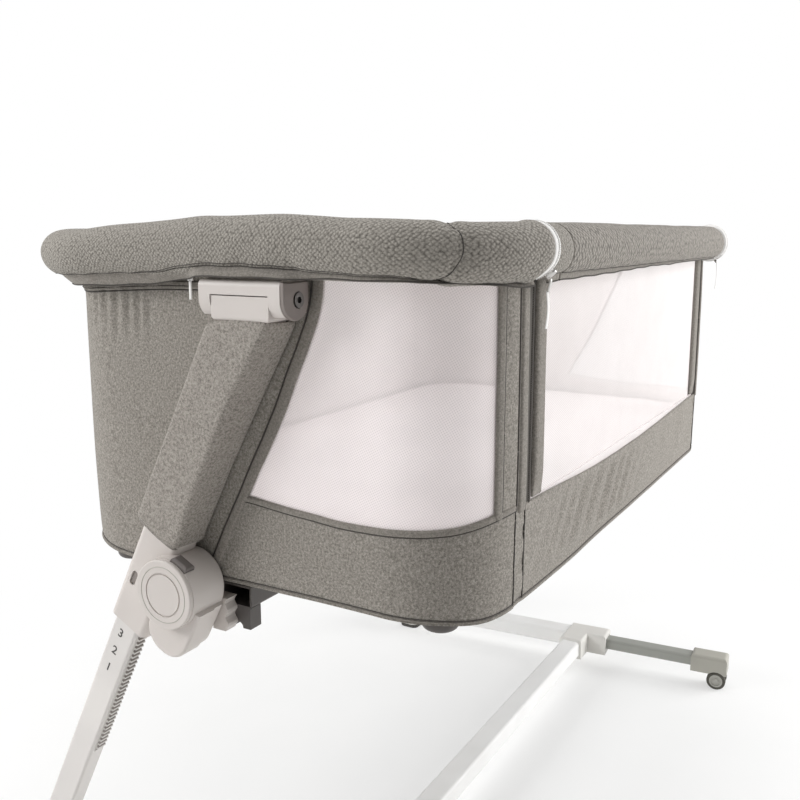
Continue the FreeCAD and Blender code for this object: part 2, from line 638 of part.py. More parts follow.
def castor_parts():
    """Sliding bed-side foot with its cap, fork and twin wheels."""
    mid = -foot_x
    tube = bar_tube_y(mid, slide_wide, slide_high, slide_wall, cap_inner_y - 22.0, slide_inner_y)
    put("slide_tube_near", toed(tube))
    put("slide_tube_far", far(toed(tube)))
    room = block(mid - slide_wide / 2.0, mid + slide_wide / 2.0, cap_inner_y - 22.0, slide_inner_y,
                 bar_mid_z - slide_high / 2.0, bar_mid_z + slide_high / 2.0)
    room = soft_edges(room, 5.0, lambda m, e: e.Length > 100.0)
    top = bar_mid_z + 14.0
    low = wheel_radius * 2.0 - 3.0
    half = 17.0
    cap = block(mid - half, mid + half, -cap_reach, cap_inner_y, low, top)
    cap = soft_edges(cap, 6.0, lambda m, e: m.z > top - 0.01)
    # wheel arches on both sides of the fork
    for side in (-1.0, 1.0):
        x0 = mid + min(side * fork_half, side * (half + 1.0))
        cap = cap.cut(rod_x(wheel_radius + 1.5, x0, x0 + half + 1.0 - fork_half, wheel_y, wheel_radius))
    fork = block(mid - fork_half, mid + fork_half, wheel_y - 11.0, wheel_y + 13.0, 5.0, low + 2.0)
    fork = soft_edges(fork, 5.0, lambda m, e: m.z < 5.01 and abs(m.x - mid) < 0.01)
    cap = cap.fuse(fork).cut(room)
    cap = cap.cut(rod_x(axle_radius + fit_turn, mid - fork_half - 1.0, mid + fork_half + 1.0, wheel_y, wheel_radius))
    put("castor_cap_near", toed(cap))
    put("castor_cap_far", far(toed(cap)))
    tyres = []
    hubs = rod_x(axle_radius, mid - fork_half - 2.0, mid + fork_half + 2.0, wheel_y, wheel_radius)
    for side in (-1.0, 1.0):
        x0 = mid + side * (fork_half + 1.0 + wheel_wide / 2.0) - wheel_wide / 2.0
        tyre = rod_x(wheel_radius, x0, x0 + wheel_wide, wheel_y, wheel_radius)
        tyre = soft_edges(tyre, 1.8, lambda m, e: e.Length > 50.0)
        core = rod_x(wheel_hub_radius, x0, x0 + wheel_wide, wheel_y, wheel_radius)
        tyres.append(toed(tyre.cut(core)))
        dish0 = x0 if side < 0 else x0 + wheel_wide - 2.0
        dish = rod_x(wheel_hub_radius - 2.2, dish0, dish0 + 2.0, wheel_y, wheel_radius)
        dish = dish.cut(rod_x(4.0, x0, x0 + wheel_wide, wheel_y, wheel_radius))
        hubs = hubs.fuse(core.cut(dish))
    put("tyres_near", *tyres)
    put("tyres_far", *[far(tyre) for tyre in tyres])
    put("wheel_hubs_near", toed(hubs))
    put("wheel_hubs_far", far(toed(hubs)))


# ---------------------------------------------------------------- fabric basket
def wall_ring(inset, thick, z0, z1):
    """Closed wall that follows the plan of the basket."""
    hx = wall_half_x - inset
    hy = wall_half_y - inset
    outer = round_prism(hx, hy, wall_corner - inset, z0, z1)
    inner = round_prism(hx - thick, hy - thick, wall_corner - inset - thick, z0, z1)
    return outer.cut(inner)


def window_room():
    """Space that the net window takes out of the -X end wall."""
    radius = 22.0
    low = sill_height
    edge_y = -wall_half_y - 5.0
    points = [
        (window_low_y - 8.0, low), (window_low_y, low + 14.0), (window_top_y - 8.0, wall_head + 5.0),
        (edge_y, wall_head + 5.0), (edge_y, low + radius), (edge_y + 6.0, low + 6.0), (edge_y + radius, low),
    ]
    return polygon_x(points, -wall_half_x - 5.0, -window_corner_x)


def zip_rings(grow, inner_radius):
    """Zip tape bands round the rim at both ends of the bed side."""
    rings = []
    for x, way in ((drop_near_x, -1.0), (drop_far_x, 1.0)):
        start = min(x + way * 0.2, x + way * 8.0) - grow
        long = 7.8 + 2.0 * grow
        ring = rod_x(rim_radius + 1.2 + grow, start, start + long, -rim_half_y, rim_mid_z)
        rings.append(ring.cut(rod_x(inner_radius, start, start + long, -rim_half_y, rim_mid_z)))
    return rings


def basket_parts(rim_pad_solid):
    """Outer fabric, net windows, lining, tray board and mattress."""
    pads = [rim_pad_solid, far(rim_pad_solid),
            rod_x(rim_radius, -wall_half_x, wall_half_x, rim_half_y, rim_mid_z),
            rod_x(rim_radius, -wall_half_x, wall_half_x, -rim_half_y, rim_mid_z)]
    pads.extend(zip_rings(0.1, rim_radius - 1.0))
    outer = wall_ring(0.0, wall_thick, wall_base, wall_head)
    for pad in pads:
        outer = outer.cut(pad)
    split_back = wall_half_x - wall_corner
    room = window_room()
    big = rim_length

    near_zone = block(-big, drop_near_x - 4.0, -big, 0.0, 0.0, big + 400.0)
    near_zone = near_zone.fuse(block(-big, -split_back, -0.5, big, 0.0, big + 400.0))
    near = outer.common(near_zone).cut(room)
    put("end_panel_near", near)
    far_zone = block(drop_far_x + 4.0, big, -big, 0.0, 0.0, big + 400.0)
    far_zone = far_zone.fuse(block(split_back, big, -0.5, big, 0.0, big + 400.0))
    put("end_panel_far", outer.common(far_zone).cut(far(room)))
    window = wall_ring(1.2, net_thick, sill_height, wall_head).common(room)
    window = window.cut(rim_pad_solid)
    put("end_window_near", window)
    put("end_window_far", far(window))
    back_zone = block(-split_back, split_back, 0.0, big, 0.0, big + 400.0)
    put("back_panel", outer.common(back_zone))
    band_zone = block(drop_near_x - 4.0, drop_far_x + 4.0, -big, 0.0, 0.0, sill_height - fit_soft)
    put("front_band", outer.common(band_zone))

    lining = wall_ring(wall_thick, lining_thick, wall_base, wall_head)
    for pad in pads:
        lining = lining.cut(pad)
    lining = lining.cut(room).cut(far(room))
    lining = lining.cut(block(drop_near_x - 4.0, drop_far_x + 4.0, -big, 0.0, sill_height - 1.0, big + 400.0))
    put("lining", lining)

    bottom = round_prism(wall_half_x, wall_half_y, wall_corner, basket_bottom, wall_base)
    bottom = soft_edges(bottom, bottom_thick - 1.5, lambda m, e: m.z < basket_bottom + 0.01)
    put("bottom_panel", bottom)
    inset = wall_thick + lining_thick
    board = round_prism(wall_half_x - inset, wall_half_y - inset, wall_corner - inset, wall_base, wall_base + board_thick)
    put("base_board", board)

    inset = inset + mattress_gap
    base_z = wall_base + board_thick
    hx = wall_half_x - inset
    hy = wall_half_y - inset
    sections = []
    for inward, rise in ((7.0, 0.0), (1.0, 12.0), (2.6, 28.0), (0.0, 42.0), (4.0, mattress_thick)):
        sections.append(round_loop(hx - inward, hy - inward, wall_corner - inset - inward, base_z + rise))
    body = Part.makeLoft(sections, True, True)
    crown = 9.0
    ball = (hx * hx) / (2.0 * crown)
    dome = Part.makeSphere(ball, Vec(0, 0, base_z + mattress_thick - ball))
    body = body.common(dome)
    put("mattress", body)


def drop_side_parts():
    """Net of the bed side and the fabric border that frames it."""
    x0 = drop_near_x + drop_gap
    x1 = drop_far_x - drop_gap
    face = -wall_half_y
    pad = rod_x(rim_radius, x0, x1, -rim_half_y, rim_mid_z)
    head = rim_mid_z - rim_radius + 6.0
    plate = block(x0, x1, face, face + wall_thick, sill_height, head)
    net_room = block(x0 + drop_border, x1 - drop_border, face - 1.0, face + wall_thick + 1.0, sill_height + 7.0, head + 10.0)
    net_room = soft_edges(net_room, 30.0, lambda m, e: m.z < sill_height + 7.01 and (abs(m.x - x0 - drop_border) < 0.01 or abs(m.x - x1 + drop_border) < 0.01))
    put("drop_border", plate.cut(net_room).cut(pad))
    net = block(x0, x1, face + 1.2, face + 1.2 + net_thick, sill_height, head)
    put("drop_net", net.common(net_room).cut(pad))


# ---------------------------------------------------------------- fittings under and on the basket
def fitting_parts():
    """Rail and brackets under the basket, stand-offs, zip tapes and zip pulls."""
    rail_y1 = rail_low_y + rail_wide
    rail_low = basket_bottom - rail_high
    rail_end = leg_x - 32.0
    rail = block(-rail_end, rail_end, rail_low_y, rail_y1, rail_low, basket_bottom)
    rail = soft_edges(rail, 4.0, lambda m, e: m.z < rail_low + 0.01 and abs(m.x) < 1.0)
    bore = block(-rail_end - 1.0, rail_end + 1.0, rail_low_y + rail_wall, rail_y1 - rail_wall,
                 rail_low + rail_wall, basket_bottom - rail_wall)
    rail = rail.cut(bore)
    ends = []
    block_mid = (block_low_y + block_high_y) / 2.0
    for way in (-1.0, 1.0):
        x0 = min(way * rail_end, way * (rail_end - block_long))
        end = block(x0, x0 + block_long, block_low_y, block_high_y, rail_low - block_drop, rail_low)
        end = end.cut(rod_x(6.0, x0 - 1.0, x0 + block_long + 1.0, block_mid, rail_low - block_drop))
        ends.append(end)
    put("under_rail", rail.fuse(ends))

    mid = -leg_x
    hub_in = mid + hub_back
    # moulded bracket from the hub to the rail, with a waved edge towards the bed side
    plate_high_y = rail_low_y + rail_wide - 5.0
    wave_low_z = rail_low - block_drop
    wave = []
    for step in range(13):
        z = wave_low_z + step * (rail_low + 12.0 - wave_low_z) / 12.0
        wave.append((plate_high_y - 17.0 + 1.8 * math.cos(step * math.pi / 2.5), z))
    plate = polygon_x([(plate_high_y, rail_low + 12.0), (plate_high_y, wave_low_z)] + wave, hub_in, -rail_end)
    put("rail_brackets", plate, far(plate))

    feet = []
    foot_low = basket_bottom - under_foot_high
    for way_x in (-1.0, 1.0):
        for way_y in (-1.0, 1.0):
            place = Vec(way_x * (wall_half_x - under_foot_inset_x), way_y * (wall_half_y - under_foot_inset_y), foot_low)
            foot = Part.makeCylinder(under_foot_radius, under_foot_high, place)
            feet.append(soft_edges(foot, 6.0, lambda m, e: m.z < foot_low + 0.01))
    put("under_feet", *feet)

    zips = []
    for x, way in ((drop_near_x, -1.0), (drop_far_x, 1.0)):
        x0 = min(x + way * 1.0, x + way * 13.0)
        strip = block(x0, x0 + 12.0, -wall_half_y - 1.2, -wall_half_y, wall_base, rim_mid_z - rim_radius - 2.0)
        ring0 = min(x + way * 0.2, x + way * 8.0)
        zips.append(strip)
        hang_y = -rim_half_y - math.cos(math.radians(48.0)) * (rim_radius + 1.2)
        hang_z = rim_mid_z - math.sin(math.radians(48.0)) * (rim_radius + 1.2)
        slider = block(ring0 + 0.4, ring0 + 7.4, hang_y - 4.0, hang_y + 1.5, hang_z - 6.0, hang_z + 5.0)
        slider = slider.cut(rod_x(rim_radius + 1.2, ring0 - 1.0, ring0 + 9.0, -rim_half_y, rim_mid_z))
        ribbon = block(ring0 + 0.9, ring0 + 6.9, hang_y - 2.2, hang_y - 1.0, hang_z - 62.0, hang_z - 6.0)
        zips.append(slider.fuse(ribbon))
    zips.extend(zip_rings(0.0, rim_radius + 0.15))
    put("zips", *zips)


def build():
    """Make every part and write one file for each."""
    pad = rim_parts()
    hinge_parts()
    upper_leg_parts()
    release_parts()
    leg_skin = inner_leg_parts()
    base_parts(leg_skin)
    castor_parts()
    basket_parts(pad)
    drop_side_parts()
    fitting_parts()
    os.makedirs("parts", exist_ok=True)
    for name in sorted(NODES):
        shape = NODES[name]
        box = shape.BoundBox
        if not shape.isValid():
            print("not valid:", name)
        print(f"{name:22s} solids {len(shape.Solids)}  x {box.XMin:8.1f} {box.XMax:8.1f}  "
              f"y {box.YMin:8.1f} {box.YMax:8.1f}  z {box.ZMin:7.1f} {box.ZMax:7.1f}  vol {shape.Volume / 1000:9.1f}")
        shape.exportStep(f"parts/{name}.step")
    print("parts written:", len(NODES))


build()
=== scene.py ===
"""Bedside sleeper crib: fabrics, padding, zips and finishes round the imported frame.

Lengths inside the classes are millimetres in the crib's own axes: X along the crib, Y across it with
the bed side at -Y, Z up from the floor. Meshes are written in metres.
"""
import json
import logging
import math
from dataclasses import dataclass, field
from enum import Enum
from typing import Any

import bmesh
import bpy
import numpy as np
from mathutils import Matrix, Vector


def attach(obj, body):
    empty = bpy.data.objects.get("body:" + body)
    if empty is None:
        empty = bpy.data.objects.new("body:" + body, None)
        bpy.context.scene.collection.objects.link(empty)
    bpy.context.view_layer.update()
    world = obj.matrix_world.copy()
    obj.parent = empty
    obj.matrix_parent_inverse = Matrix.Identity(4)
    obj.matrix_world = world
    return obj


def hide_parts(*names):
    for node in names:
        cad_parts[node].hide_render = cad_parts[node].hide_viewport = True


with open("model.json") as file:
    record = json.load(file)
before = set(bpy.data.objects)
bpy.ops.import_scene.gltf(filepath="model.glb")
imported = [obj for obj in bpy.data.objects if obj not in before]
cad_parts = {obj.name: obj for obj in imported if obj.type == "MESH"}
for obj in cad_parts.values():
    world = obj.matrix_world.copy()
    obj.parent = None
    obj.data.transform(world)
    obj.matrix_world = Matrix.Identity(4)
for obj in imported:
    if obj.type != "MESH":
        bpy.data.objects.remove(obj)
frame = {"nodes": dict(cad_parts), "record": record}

LOG = logging.getLogger("crib")
Array = np.ndarray
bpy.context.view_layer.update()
MM = 0.001
CLOTH_THICK = 2.4  # the outer cloth with its backing
LEAN = math.radians(26.8)  # angle of the legs from upright
ALONG_X, ALONG_Y, ALONG_Z = np.eye(3)
MIRROR_X = np.array([-1.0, 1.0, 1.0])
Marks = tuple[tuple[float, float], ...]


class End(Enum):
    """The two short ends of the crib; the value is the sign of X."""

    NEAR = -1
    FAR = 1


# ------------------------------------------------------------------ colours and nodes
def linear(colour: str) -> tuple[float, float, float, float]:
    """Turn an sRGB hex colour into linear light.

    Args:
        colour: "#RRGGBB".
    Returns:
        Red, green, blue and an alpha of 1.
    """
    parts = [int(colour[i:i + 2], 16) / 255.0 for i in (1, 3, 5)]
    lit = [c / 12.92 if c <= 0.04045 else ((c + 0.055) / 1.055) ** 2.4 for c in parts]
    return lit[0], lit[1], lit[2], 1.0


def add(tree: bpy.types.NodeTree, kind: str, links: dict[Any, Any] | None = None,
        values: dict[Any, Any] | None = None, **settings: Any) -> bpy.types.Node:
    """Add one node with its settings, socket values and incoming links.

    Args:
        tree: Node tree that gets the node.
        kind: Blender's name of the node type.
        links: Input name or number -> output socket that feeds it.
        values: Input name or number -> constant.
        settings: Properties of the node itself.
    Returns:
        The new node.
    """
    made = tree.nodes.new("ShaderNode" + kind)
    for name, value in settings.items():
        setattr(made, name, value)
    for name, value in (values or {}).items():
        made.inputs[name].default_value = value
    for name, source in (links or {}).items():
        tree.links.new(source, made.inputs[name])
    return made


def ramp(tree: bpy.types.NodeTree, source: Any, stops: list[tuple[float, str]]) -> Any:
    """Colour a value through a ramp.

    Args:
        tree: Node tree.
        source: Output socket with the value.
        stops: Place from 0 to 1 and hex colour of each stop.
    Returns:
        The colour output.
    """
    made = add(tree, "ValToRGB", {"Fac": source})
    bar = made.color_ramp.elements
    while len(bar) < len(stops):
        bar.new(0.5)
    for element, (place, colour) in zip(bar, stops):
        element.position = place
        element.color = linear(colour)
    return made.outputs["Color"]


# ------------------------------------------------------------------ finishes
@dataclass(frozen=True)
class Finish:
    """A finish: what the surface is made of and how it was made.

    colour is the middle tone, roughness the shader's, grain_mm the size of its finest visible grain.
    """

    name: str
    colour: str
    roughness: float = 0.5
    grain_mm: float = 1.0
    relief_mm: float = 0.02
    metallic: float = 0.0

    def tones(self, tree: bpy.types.NodeTree, place: Any) -> Any:
        """Colour over the surface: a slow drift of a few percent round the middle tone."""
        drift = add(tree, "TexNoise", {"Vector": place}, {"Scale": 9.0, "Detail": 2.0})
        return ramp(tree, drift.outputs["Fac"], [(0.3, shade(self.colour, 0.965)), (0.7, shade(self.colour, 1.02))])

    def height(self, tree: bpy.types.NodeTree, place: Any) -> Any:
        """Relief of the surface from 0 to 1: fine noise of the grain's size."""
        grain = add(tree, "TexNoise", {"Vector": place}, {"Scale": 1.0 / (self.grain_mm * MM), "Detail": 1.0})
        return grain.outputs["Fac"]

    def place(self, tree: bpy.types.NodeTree) -> Any:
        """Coordinates that the pattern is drawn in."""
        return add(tree, "TexCoord").outputs["Object"]

    def dress(self, shader: bpy.types.Node, tree: bpy.types.NodeTree, place: Any) -> None:
        """Extra shader settings of one kind of finish."""

    def make(self) -> bpy.types.Material:
        """Build the material once and give it back on later calls."""
        known = bpy.data.materials.get(self.name)
        if known is not None:
            return known
        material = bpy.data.materials.new(self.name)
        material.use_nodes = True
        tree = material.node_tree
        tree.nodes.clear()
        place = self.place(tree)
        bump = add(tree, "Bump", {"Height": self.height(tree, place)},
                   {"Strength": 1.0, "Distance": self.relief_mm * MM})
        worn = add(tree, "TexNoise", {"Vector": place}, {"Scale": 35.0, "Detail": 3.0})
        rough = add(tree, "MapRange", {"Value": worn.outputs["Fac"]},
                    {"From Min": 0.3, "From Max": 0.7, "To Min": self.roughness * 0.93,
                     "To Max": min(1.0, self.roughness * 1.07)})
        shader = add(tree, "BsdfPrincipled",
                     {"Base Color": self.tones(tree, place), "Normal": bump.outputs["Normal"],
                      "Roughness": rough.outputs["Result"]}, {"Metallic": self.metallic})
        self.dress(shader, tree, place)
        add(tree, "OutputMaterial", {"Surface": shader.outputs["BSDF"]})
        material.diffuse_color = linear(self.colour)
        return material


def shade(colour: str, gain: float) -> str:
    """Make a hex colour lighter or darker by a factor on its sRGB values."""
    parts = [min(255, max(0, round(int(colour[i:i + 2], 16) * gain))) for i in (1, 3, 5)]
    return "#" + "".join(f"{c:02X}" for c in parts)


@dataclass(frozen=True)
class MouldedPlastic(Finish):
    """Injection-moulded ABS or nylon: even colour, fine spark-eroded grain, soft broad highlight."""

    roughness: float = 0.46
    grain_mm: float = 0.5
    relief_mm: float = 0.025


@dataclass(frozen=True)
class PowderCoat(Finish):
    """Powder-coated tube: slight orange peel of about 1.5 mm and a satin gloss."""

    roughness: float = 0.34
    grain_mm: float = 1.5
    relief_mm: float = 0.018


@dataclass(frozen=True)
class RackPaint(PowderCoat):
    """Powder coat on the toothed inner leg: thinner, with painted shade darkening the roots between the teeth.

    pitch_mm is the tooth pitch, zero_mm the length up the leg of one root, edge_mm how far across the leg teeth go.
    """

    pitch_mm: float = 5.625
    zero_mm: float = 352.5
    edge_mm: float = 255.9
    root_shadow_colour: str = "#8C8681"

    def tones(self, tree: bpy.types.NodeTree, place: Any) -> Any:
        """Even paint with painted shade in the roots, which lie across the leg at each pitch along its toothed edge.
        """
        parts = add(tree, "SeparateXYZ", {"Vector": place})

        def mixed(first: float, second: float) -> Any:
            """Sum of y times first and z times second."""
            a = add(tree, "Math", {0: parts.outputs["Y"]}, {1: first}, operation="MULTIPLY")
            b = add(tree, "Math", {0: parts.outputs["Z"]}, {1: second}, operation="MULTIPLY")
            return add(tree, "Math", {0: a.outputs[0], 1: b.outputs[0]}, operation="ADD").outputs[0]

        across, along = mixed(math.cos(LEAN), math.sin(LEAN)), mixed(-math.sin(LEAN), math.cos(LEAN))
        from_hub = add(tree, "Math", {0: along}, {1: -self.zero_mm * MM}, operation="ADD")
        turns = add(tree, "Math", {0: from_hub.outputs[0]}, {1: 1.0 / (self.pitch_mm * MM)}, operation="MULTIPLY")
        phase = add(tree, "Math", {0: turns.outputs[0]}, operation="FRACT")
        late = add(tree, "Math", {0: phase.outputs[0]}, {1: 0.66}, operation="GREATER_THAN")
        early = add(tree, "Math", {0: phase.outputs[0]}, {1: 0.1}, operation="LESS_THAN")
        root = add(tree, "Math", {0: late.outputs[0], 1: early.outputs[0]}, operation="MAXIMUM")
        edge = add(tree, "Math", {0: across}, {1: self.edge_mm * MM}, operation="LESS_THAN")
        # Painted shade: the roots of the teeth are darkened in the colour.
        root_shadow_mask = add(tree, "Math", {0: root.outputs[0], 1: edge.outputs[0]}, operation="MULTIPLY")
        plain = super().tones(tree, place)
        both = add(tree, "Mix", {0: root_shadow_mask.outputs[0], 6: plain}, {7: linear(self.root_shadow_colour)}, data_type="RGBA")
        return both.outputs[2]


@dataclass(frozen=True)
class BareMetal(Finish):
    """Zinc-plated or extruded metal with fine lines along the part."""

    roughness: float = 0.38
    grain_mm: float = 0.8
    relief_mm: float = 0.01
    metallic: float = 1.0


@dataclass(frozen=True)
class Rubber(Finish):
    """Moulded rubber: dull, slightly mottled."""

    roughness: float = 0.78
    grain_mm: float = 0.7
    relief_mm: float = 0.05


@dataclass(frozen=True)
class Hardboard(Finish):
    """Pressed fibre board: flecks of about 1.2 mm."""

    roughness: float = 0.7
    grain_mm: float = 1.2
    relief_mm: float = 0.06

    def tones(self, tree: bpy.types.NodeTree, place: Any) -> Any:
        """Flecks of lighter and darker fibre."""
        fleck = add(tree, "TexNoise", {"Vector": place}, {"Scale": 1.0 / (self.grain_mm * MM), "Detail": 3.0})
        return ramp(tree, fleck.outputs["Fac"], [(0.3, shade(self.colour, 0.86)), (0.7, shade(self.colour, 1.1))])


@dataclass(frozen=True)
class MelangeCloth(Finish):
    """Brushed polyester cloth of mixed light and dark yarns.

    The eye sees a warm grey speckle of about one millimetre, a soft mottling and a faint halo of fibres.
    """

    light: str = "#A39D95"
    dark: str = "#78736C"
    roughness: float = 0.92
    grain_mm: float = 0.9
    relief_mm: float = 0.22

    def tones(self, tree: bpy.types.NodeTree, place: Any) -> Any:
        """Speckle of mixed yarns over a slow mottling."""
        fleck = add(tree, "TexNoise", {"Vector": place},
                    {"Scale": 1.0 / (self.grain_mm * MM), "Detail": 2.5, "Roughness": 0.62})
        slub = add(tree, "TexNoise", {"Vector": place}, {"Scale": 1.0 / (2.4 * self.grain_mm * MM), "Detail": 2.0})
        mixed = add(tree, "Math", {0: fleck.outputs["Fac"], 1: slub.outputs["Fac"]}, operation="ADD")
        half = add(tree, "Math", {0: mixed.outputs[0]}, {1: 0.5}, operation="MULTIPLY")
        return ramp(tree, half.outputs[0], [(0.36, self.dark), (0.5, self.colour), (0.64, self.light)])

    def height(self, tree: bpy.types.NodeTree, place: Any) -> Any:
        """Weave of over and under yarns with the brushed pile on it."""
        pile = add(tree, "TexNoise", {"Vector": place}, {"Scale": 1.0 / (0.9 * self.grain_mm * MM), "Detail": 2.0})
        return pile.outputs["Fac"]

    def dress(self, shader: bpy.types.Node, tree: bpy.types.NodeTree, place: Any) -> None:
        """Halo of fine fibres seen at a slant."""
        shader.inputs["Sheen Weight"].default_value = 0.12
        shader.inputs["Sheen Roughness"].default_value = 0.5
        shader.inputs["Specular IOR Level"].default_value = 0.12


@dataclass(frozen=True)
class SpacerKnit(MelangeCloth):
    """Warp-knitted spacer cloth: staggered rows of rounded cells, cell_mm apart, with pits between them; the cell
    tops carry painted light and the pits painted shade.

    The cells are drawn a little coarser than real ones so that they show; yarn_mm is the size of the yarn's flecks.
    """

    cell_mm: float = 2.9
    yarn_mm: float = 1.5
    roughness: float = 0.9
    relief_mm: float = 0.7

    def place(self, tree: bpy.types.NodeTree) -> Any:
        """The knit follows the padding, so it reads the piece's own UV map in millimetres."""
        return add(tree, "UVMap", uv_map="cloth").outputs["UV"]

    def cells(self, tree: bpy.types.NodeTree, place: Any) -> Any:
        """Distance to the middle of the nearest cell of a slightly uneven staggered lattice."""
        wide = 1.0 / self.cell_mm
        skew = add(tree, "Mapping", {"Vector": place},
                   {"Rotation": (0.0, 0.0, math.radians(45.0)), "Scale": (wide, wide, wide)})
        cell = add(tree, "TexVoronoi", {"Vector": skew.outputs["Vector"]}, {"Scale": 1.0, "Randomness": 0.48},
                   voronoi_dimensions="2D", feature="F1")
        return cell.outputs["Distance"]

    def tones(self, tree: bpy.types.NodeTree, place: Any) -> Any:
        """Painted light on the cell tops, painted shade in the pits, and the melange of the yarn."""
        # Painted light and shade: the cell tops are lightened and the pits darkened in the colour.
        pits = ramp(tree, self.cells(tree, place), [(0.12, self.light), (0.42, self.colour), (0.66, self.dark)])
        wide = add(tree, "Mapping", {"Vector": place}, {"Scale": (1.0 / self.yarn_mm, 1.0 / self.yarn_mm, 1.0)})
        fleck = add(tree, "TexNoise", {"Vector": wide.outputs["Vector"]}, {"Scale": 1.0, "Detail": 2.0})
        yarn = ramp(tree, fleck.outputs["Fac"], [(0.34, shade(self.colour, 0.72)), (0.66, shade(self.colour, 1.25))])
        mixed = add(tree, "Mix", {6: pits, 7: yarn}, {0: 0.45}, data_type="RGBA")
        return mixed.outputs[2]

    def height(self, tree: bpy.types.NodeTree, place: Any) -> Any:
        """Domed cells: high in the middle, low in the pits."""
        dome = add(tree, "MapRange", {"Value": self.cells(tree, place)},
                   {"From Min": 0.0, "From Max": 0.7, "To Min": 1.0, "To Max": 0.0})
        return dome.outputs["Result"]


@dataclass(frozen=True)
class FineCloth(Finish):
    """Fine plain-woven or jersey cloth: almost even, its threads drawn at 1.6 mm so they show a little."""

    roughness: float = 0.88
    grain_mm: float = 1.6
    relief_mm: float = 0.12

    def dress(self, shader: bpy.types.Node, tree: bpy.types.NodeTree, place: Any) -> None:
        """Soft fibre halo."""
        shader.inputs["Sheen Weight"].default_value = 0.1
        shader.inputs["Specular IOR Level"].default_value = 0.2


@dataclass(frozen=True)
class NetCloth(Finish):
    """White knitted net: real holes are about 1.5 mm apart, drawn at hole_mm so that they show.

    The eye sees a pale veil with the inside of the crib through it; cover is the share that the yarn hides.
    """

    roughness: float = 0.8
    hole_mm: float = 2.0
    cover: float = 0.62

    def place(self, tree: bpy.types.NodeTree) -> Any:
        """Holes follow the cloth's own UV map in millimetres."""
        return add(tree, "UVMap", uv_map="cloth").outputs["UV"]

    def tones(self, tree: bpy.types.NodeTree, place: Any) -> Any:
        """Even white yarn with a slow drift."""
        drift = add(tree, "TexNoise", {"Vector": place}, {"Scale": 0.02, "Detail": 2.0})
        return ramp(tree, drift.outputs["Fac"], [(0.3, shade(self.colour, 0.98)), (0.7, self.colour)])

    def height(self, tree: bpy.types.NodeTree, place: Any) -> Any:
        """Flat between the holes."""
        return self.holes(tree, place)

    def holes(self, tree: bpy.types.NodeTree, place: Any) -> Any:
        """Distance from the middle of the nearest hole, in staggered rows."""
        step = 1.0 / self.hole_mm
        turned = add(tree, "Mapping", {"Vector": place},
                     {"Rotation": (0.0, 0.0, math.radians(30.0)), "Scale": (step, step, step)})
        cell = add(tree, "TexVoronoi", {"Vector": turned.outputs["Vector"]}, {"Scale": 1.0, "Randomness": 0.05},
                   voronoi_dimensions="2D", feature="F1")
        return cell.outputs["Distance"]

    def dress(self, shader: bpy.types.Node, tree: bpy.types.NodeTree, place: Any) -> None:
        """Open holes: clear in the middle of each cell and solid yarn round it."""
        yarn = add(tree, "MapRange", {"Value": self.holes(tree, place)},
                   {"From Min": 0.26, "From Max": 0.4, "To Min": self.cover - 0.09,
                    "To Max": min(1.0, self.cover + 0.08)})
        tree.links.new(yarn.outputs["Result"], shader.inputs["Alpha"])
        shader.inputs["Specular IOR Level"].default_value = 0.1


# The light and dark tones of the two knits are painted light on the cell tops and painted shade in the pits.
RIM_KNIT = SpacerKnit("spacer_knit_rim", "#918C85", light="#ACA79F", dark="#5C5852")
RAIL_KNIT = SpacerKnit("spacer_knit_rail", "#8A857E", light="#B0AAA2", dark="#45413D", cell_mm=5.0, relief_mm=1.1)
MELANGE = MelangeCloth("melange_polyester_brushed", "#908B84", light="#ACA69E", dark="#706B64")
SLEEVE_CLOTH = MelangeCloth("melange_polyester_over_foam", "#9A948D", light="#B0AAA2", dark="#736E68")
BINDING = MelangeCloth("melange_binding_tape", "#8A857E", light="#9C968F", dark="#75706A", grain_mm=0.8)
SEAM = Finish("sewing_thread_dark_grey", "#4B4743", 0.85, 0.8, 0.1)
NET = NetCloth("white_net_knitted", "#F8F1F1")
BED_NET = NetCloth("white_net_bed_side", "#F4F0EF", cover=0.55)
LINING = FineCloth("cotton_lining_woven", "#F8F2F1")
SHEET = FineCloth("jersey_sheet_knitted", "#F3EAEA", grain_mm=2.2, relief_mm=0.2)
ZIP_WHITE = FineCloth("zip_tape_white_woven", "#F3F1EF", grain_mm=1.0)
ZIP_DARK = FineCloth("zip_tape_grey_woven", "#5E5A55", grain_mm=1.0)
ZIP_METAL = BareMetal("zip_slider_cast_zinc", "#C9C7C4", 0.3)
LIGHT_PLASTIC = MouldedPlastic("abs_warm_grey_moulded", "#D3CCC7")
MID_PLASTIC = MouldedPlastic("abs_mid_grey_moulded", "#887F7B")
DARK_PLASTIC = MouldedPlastic("nylon_dark_grey_moulded", "#57524F")
BUTTON_PLASTIC = MouldedPlastic("abs_button_grey_satin", "#716B68", 0.4)
GUIDE_PLASTIC = MouldedPlastic("nylon_natural_moulded", "#E4E2DD", 0.5)
LEG_PAINT = PowderCoat("powder_coat_warm_grey", "#DCD8D4")
RACK_PAINT = RackPaint("powder_coat_toothed_leg", "#DCD8D4")
BASE_PAINT = PowderCoat("powder_coat_white", "#FCFBF9")
BASE_PLASTIC = MouldedPlastic("abs_off_white_moulded", "#E9E7E2")
CAP_PLASTIC = MouldedPlastic("abs_stone_grey_moulded", "#B6B4AB")
SLIDE_PAINT = PowderCoat("powder_coat_mid_grey", "#A5A6A0")
FRAME_PAINT = PowderCoat("powder_coat_frame_grey", "#C9C7C2")
ALUMINIUM = BareMetal("aluminium_extruded_anodised", "#BDBBB6")
BOLT_METAL = BareMetal("steel_zinc_plated", "#6E6C6A", 0.35)
TYRE = Rubber("tyre_rubber_moulded", "#55534C")
PAD = Rubber("foot_rubber_moulded", "#4A4844")
WHEEL_PLASTIC = MouldedPlastic("wheel_nylon_moulded", "#B8B7B0")
INK = Finish("pad_printed_ink_grey", "#4A4644", 0.6, 0.5, 0.005)
BOARD = Hardboard("hardboard_pressed", "#B79B77")

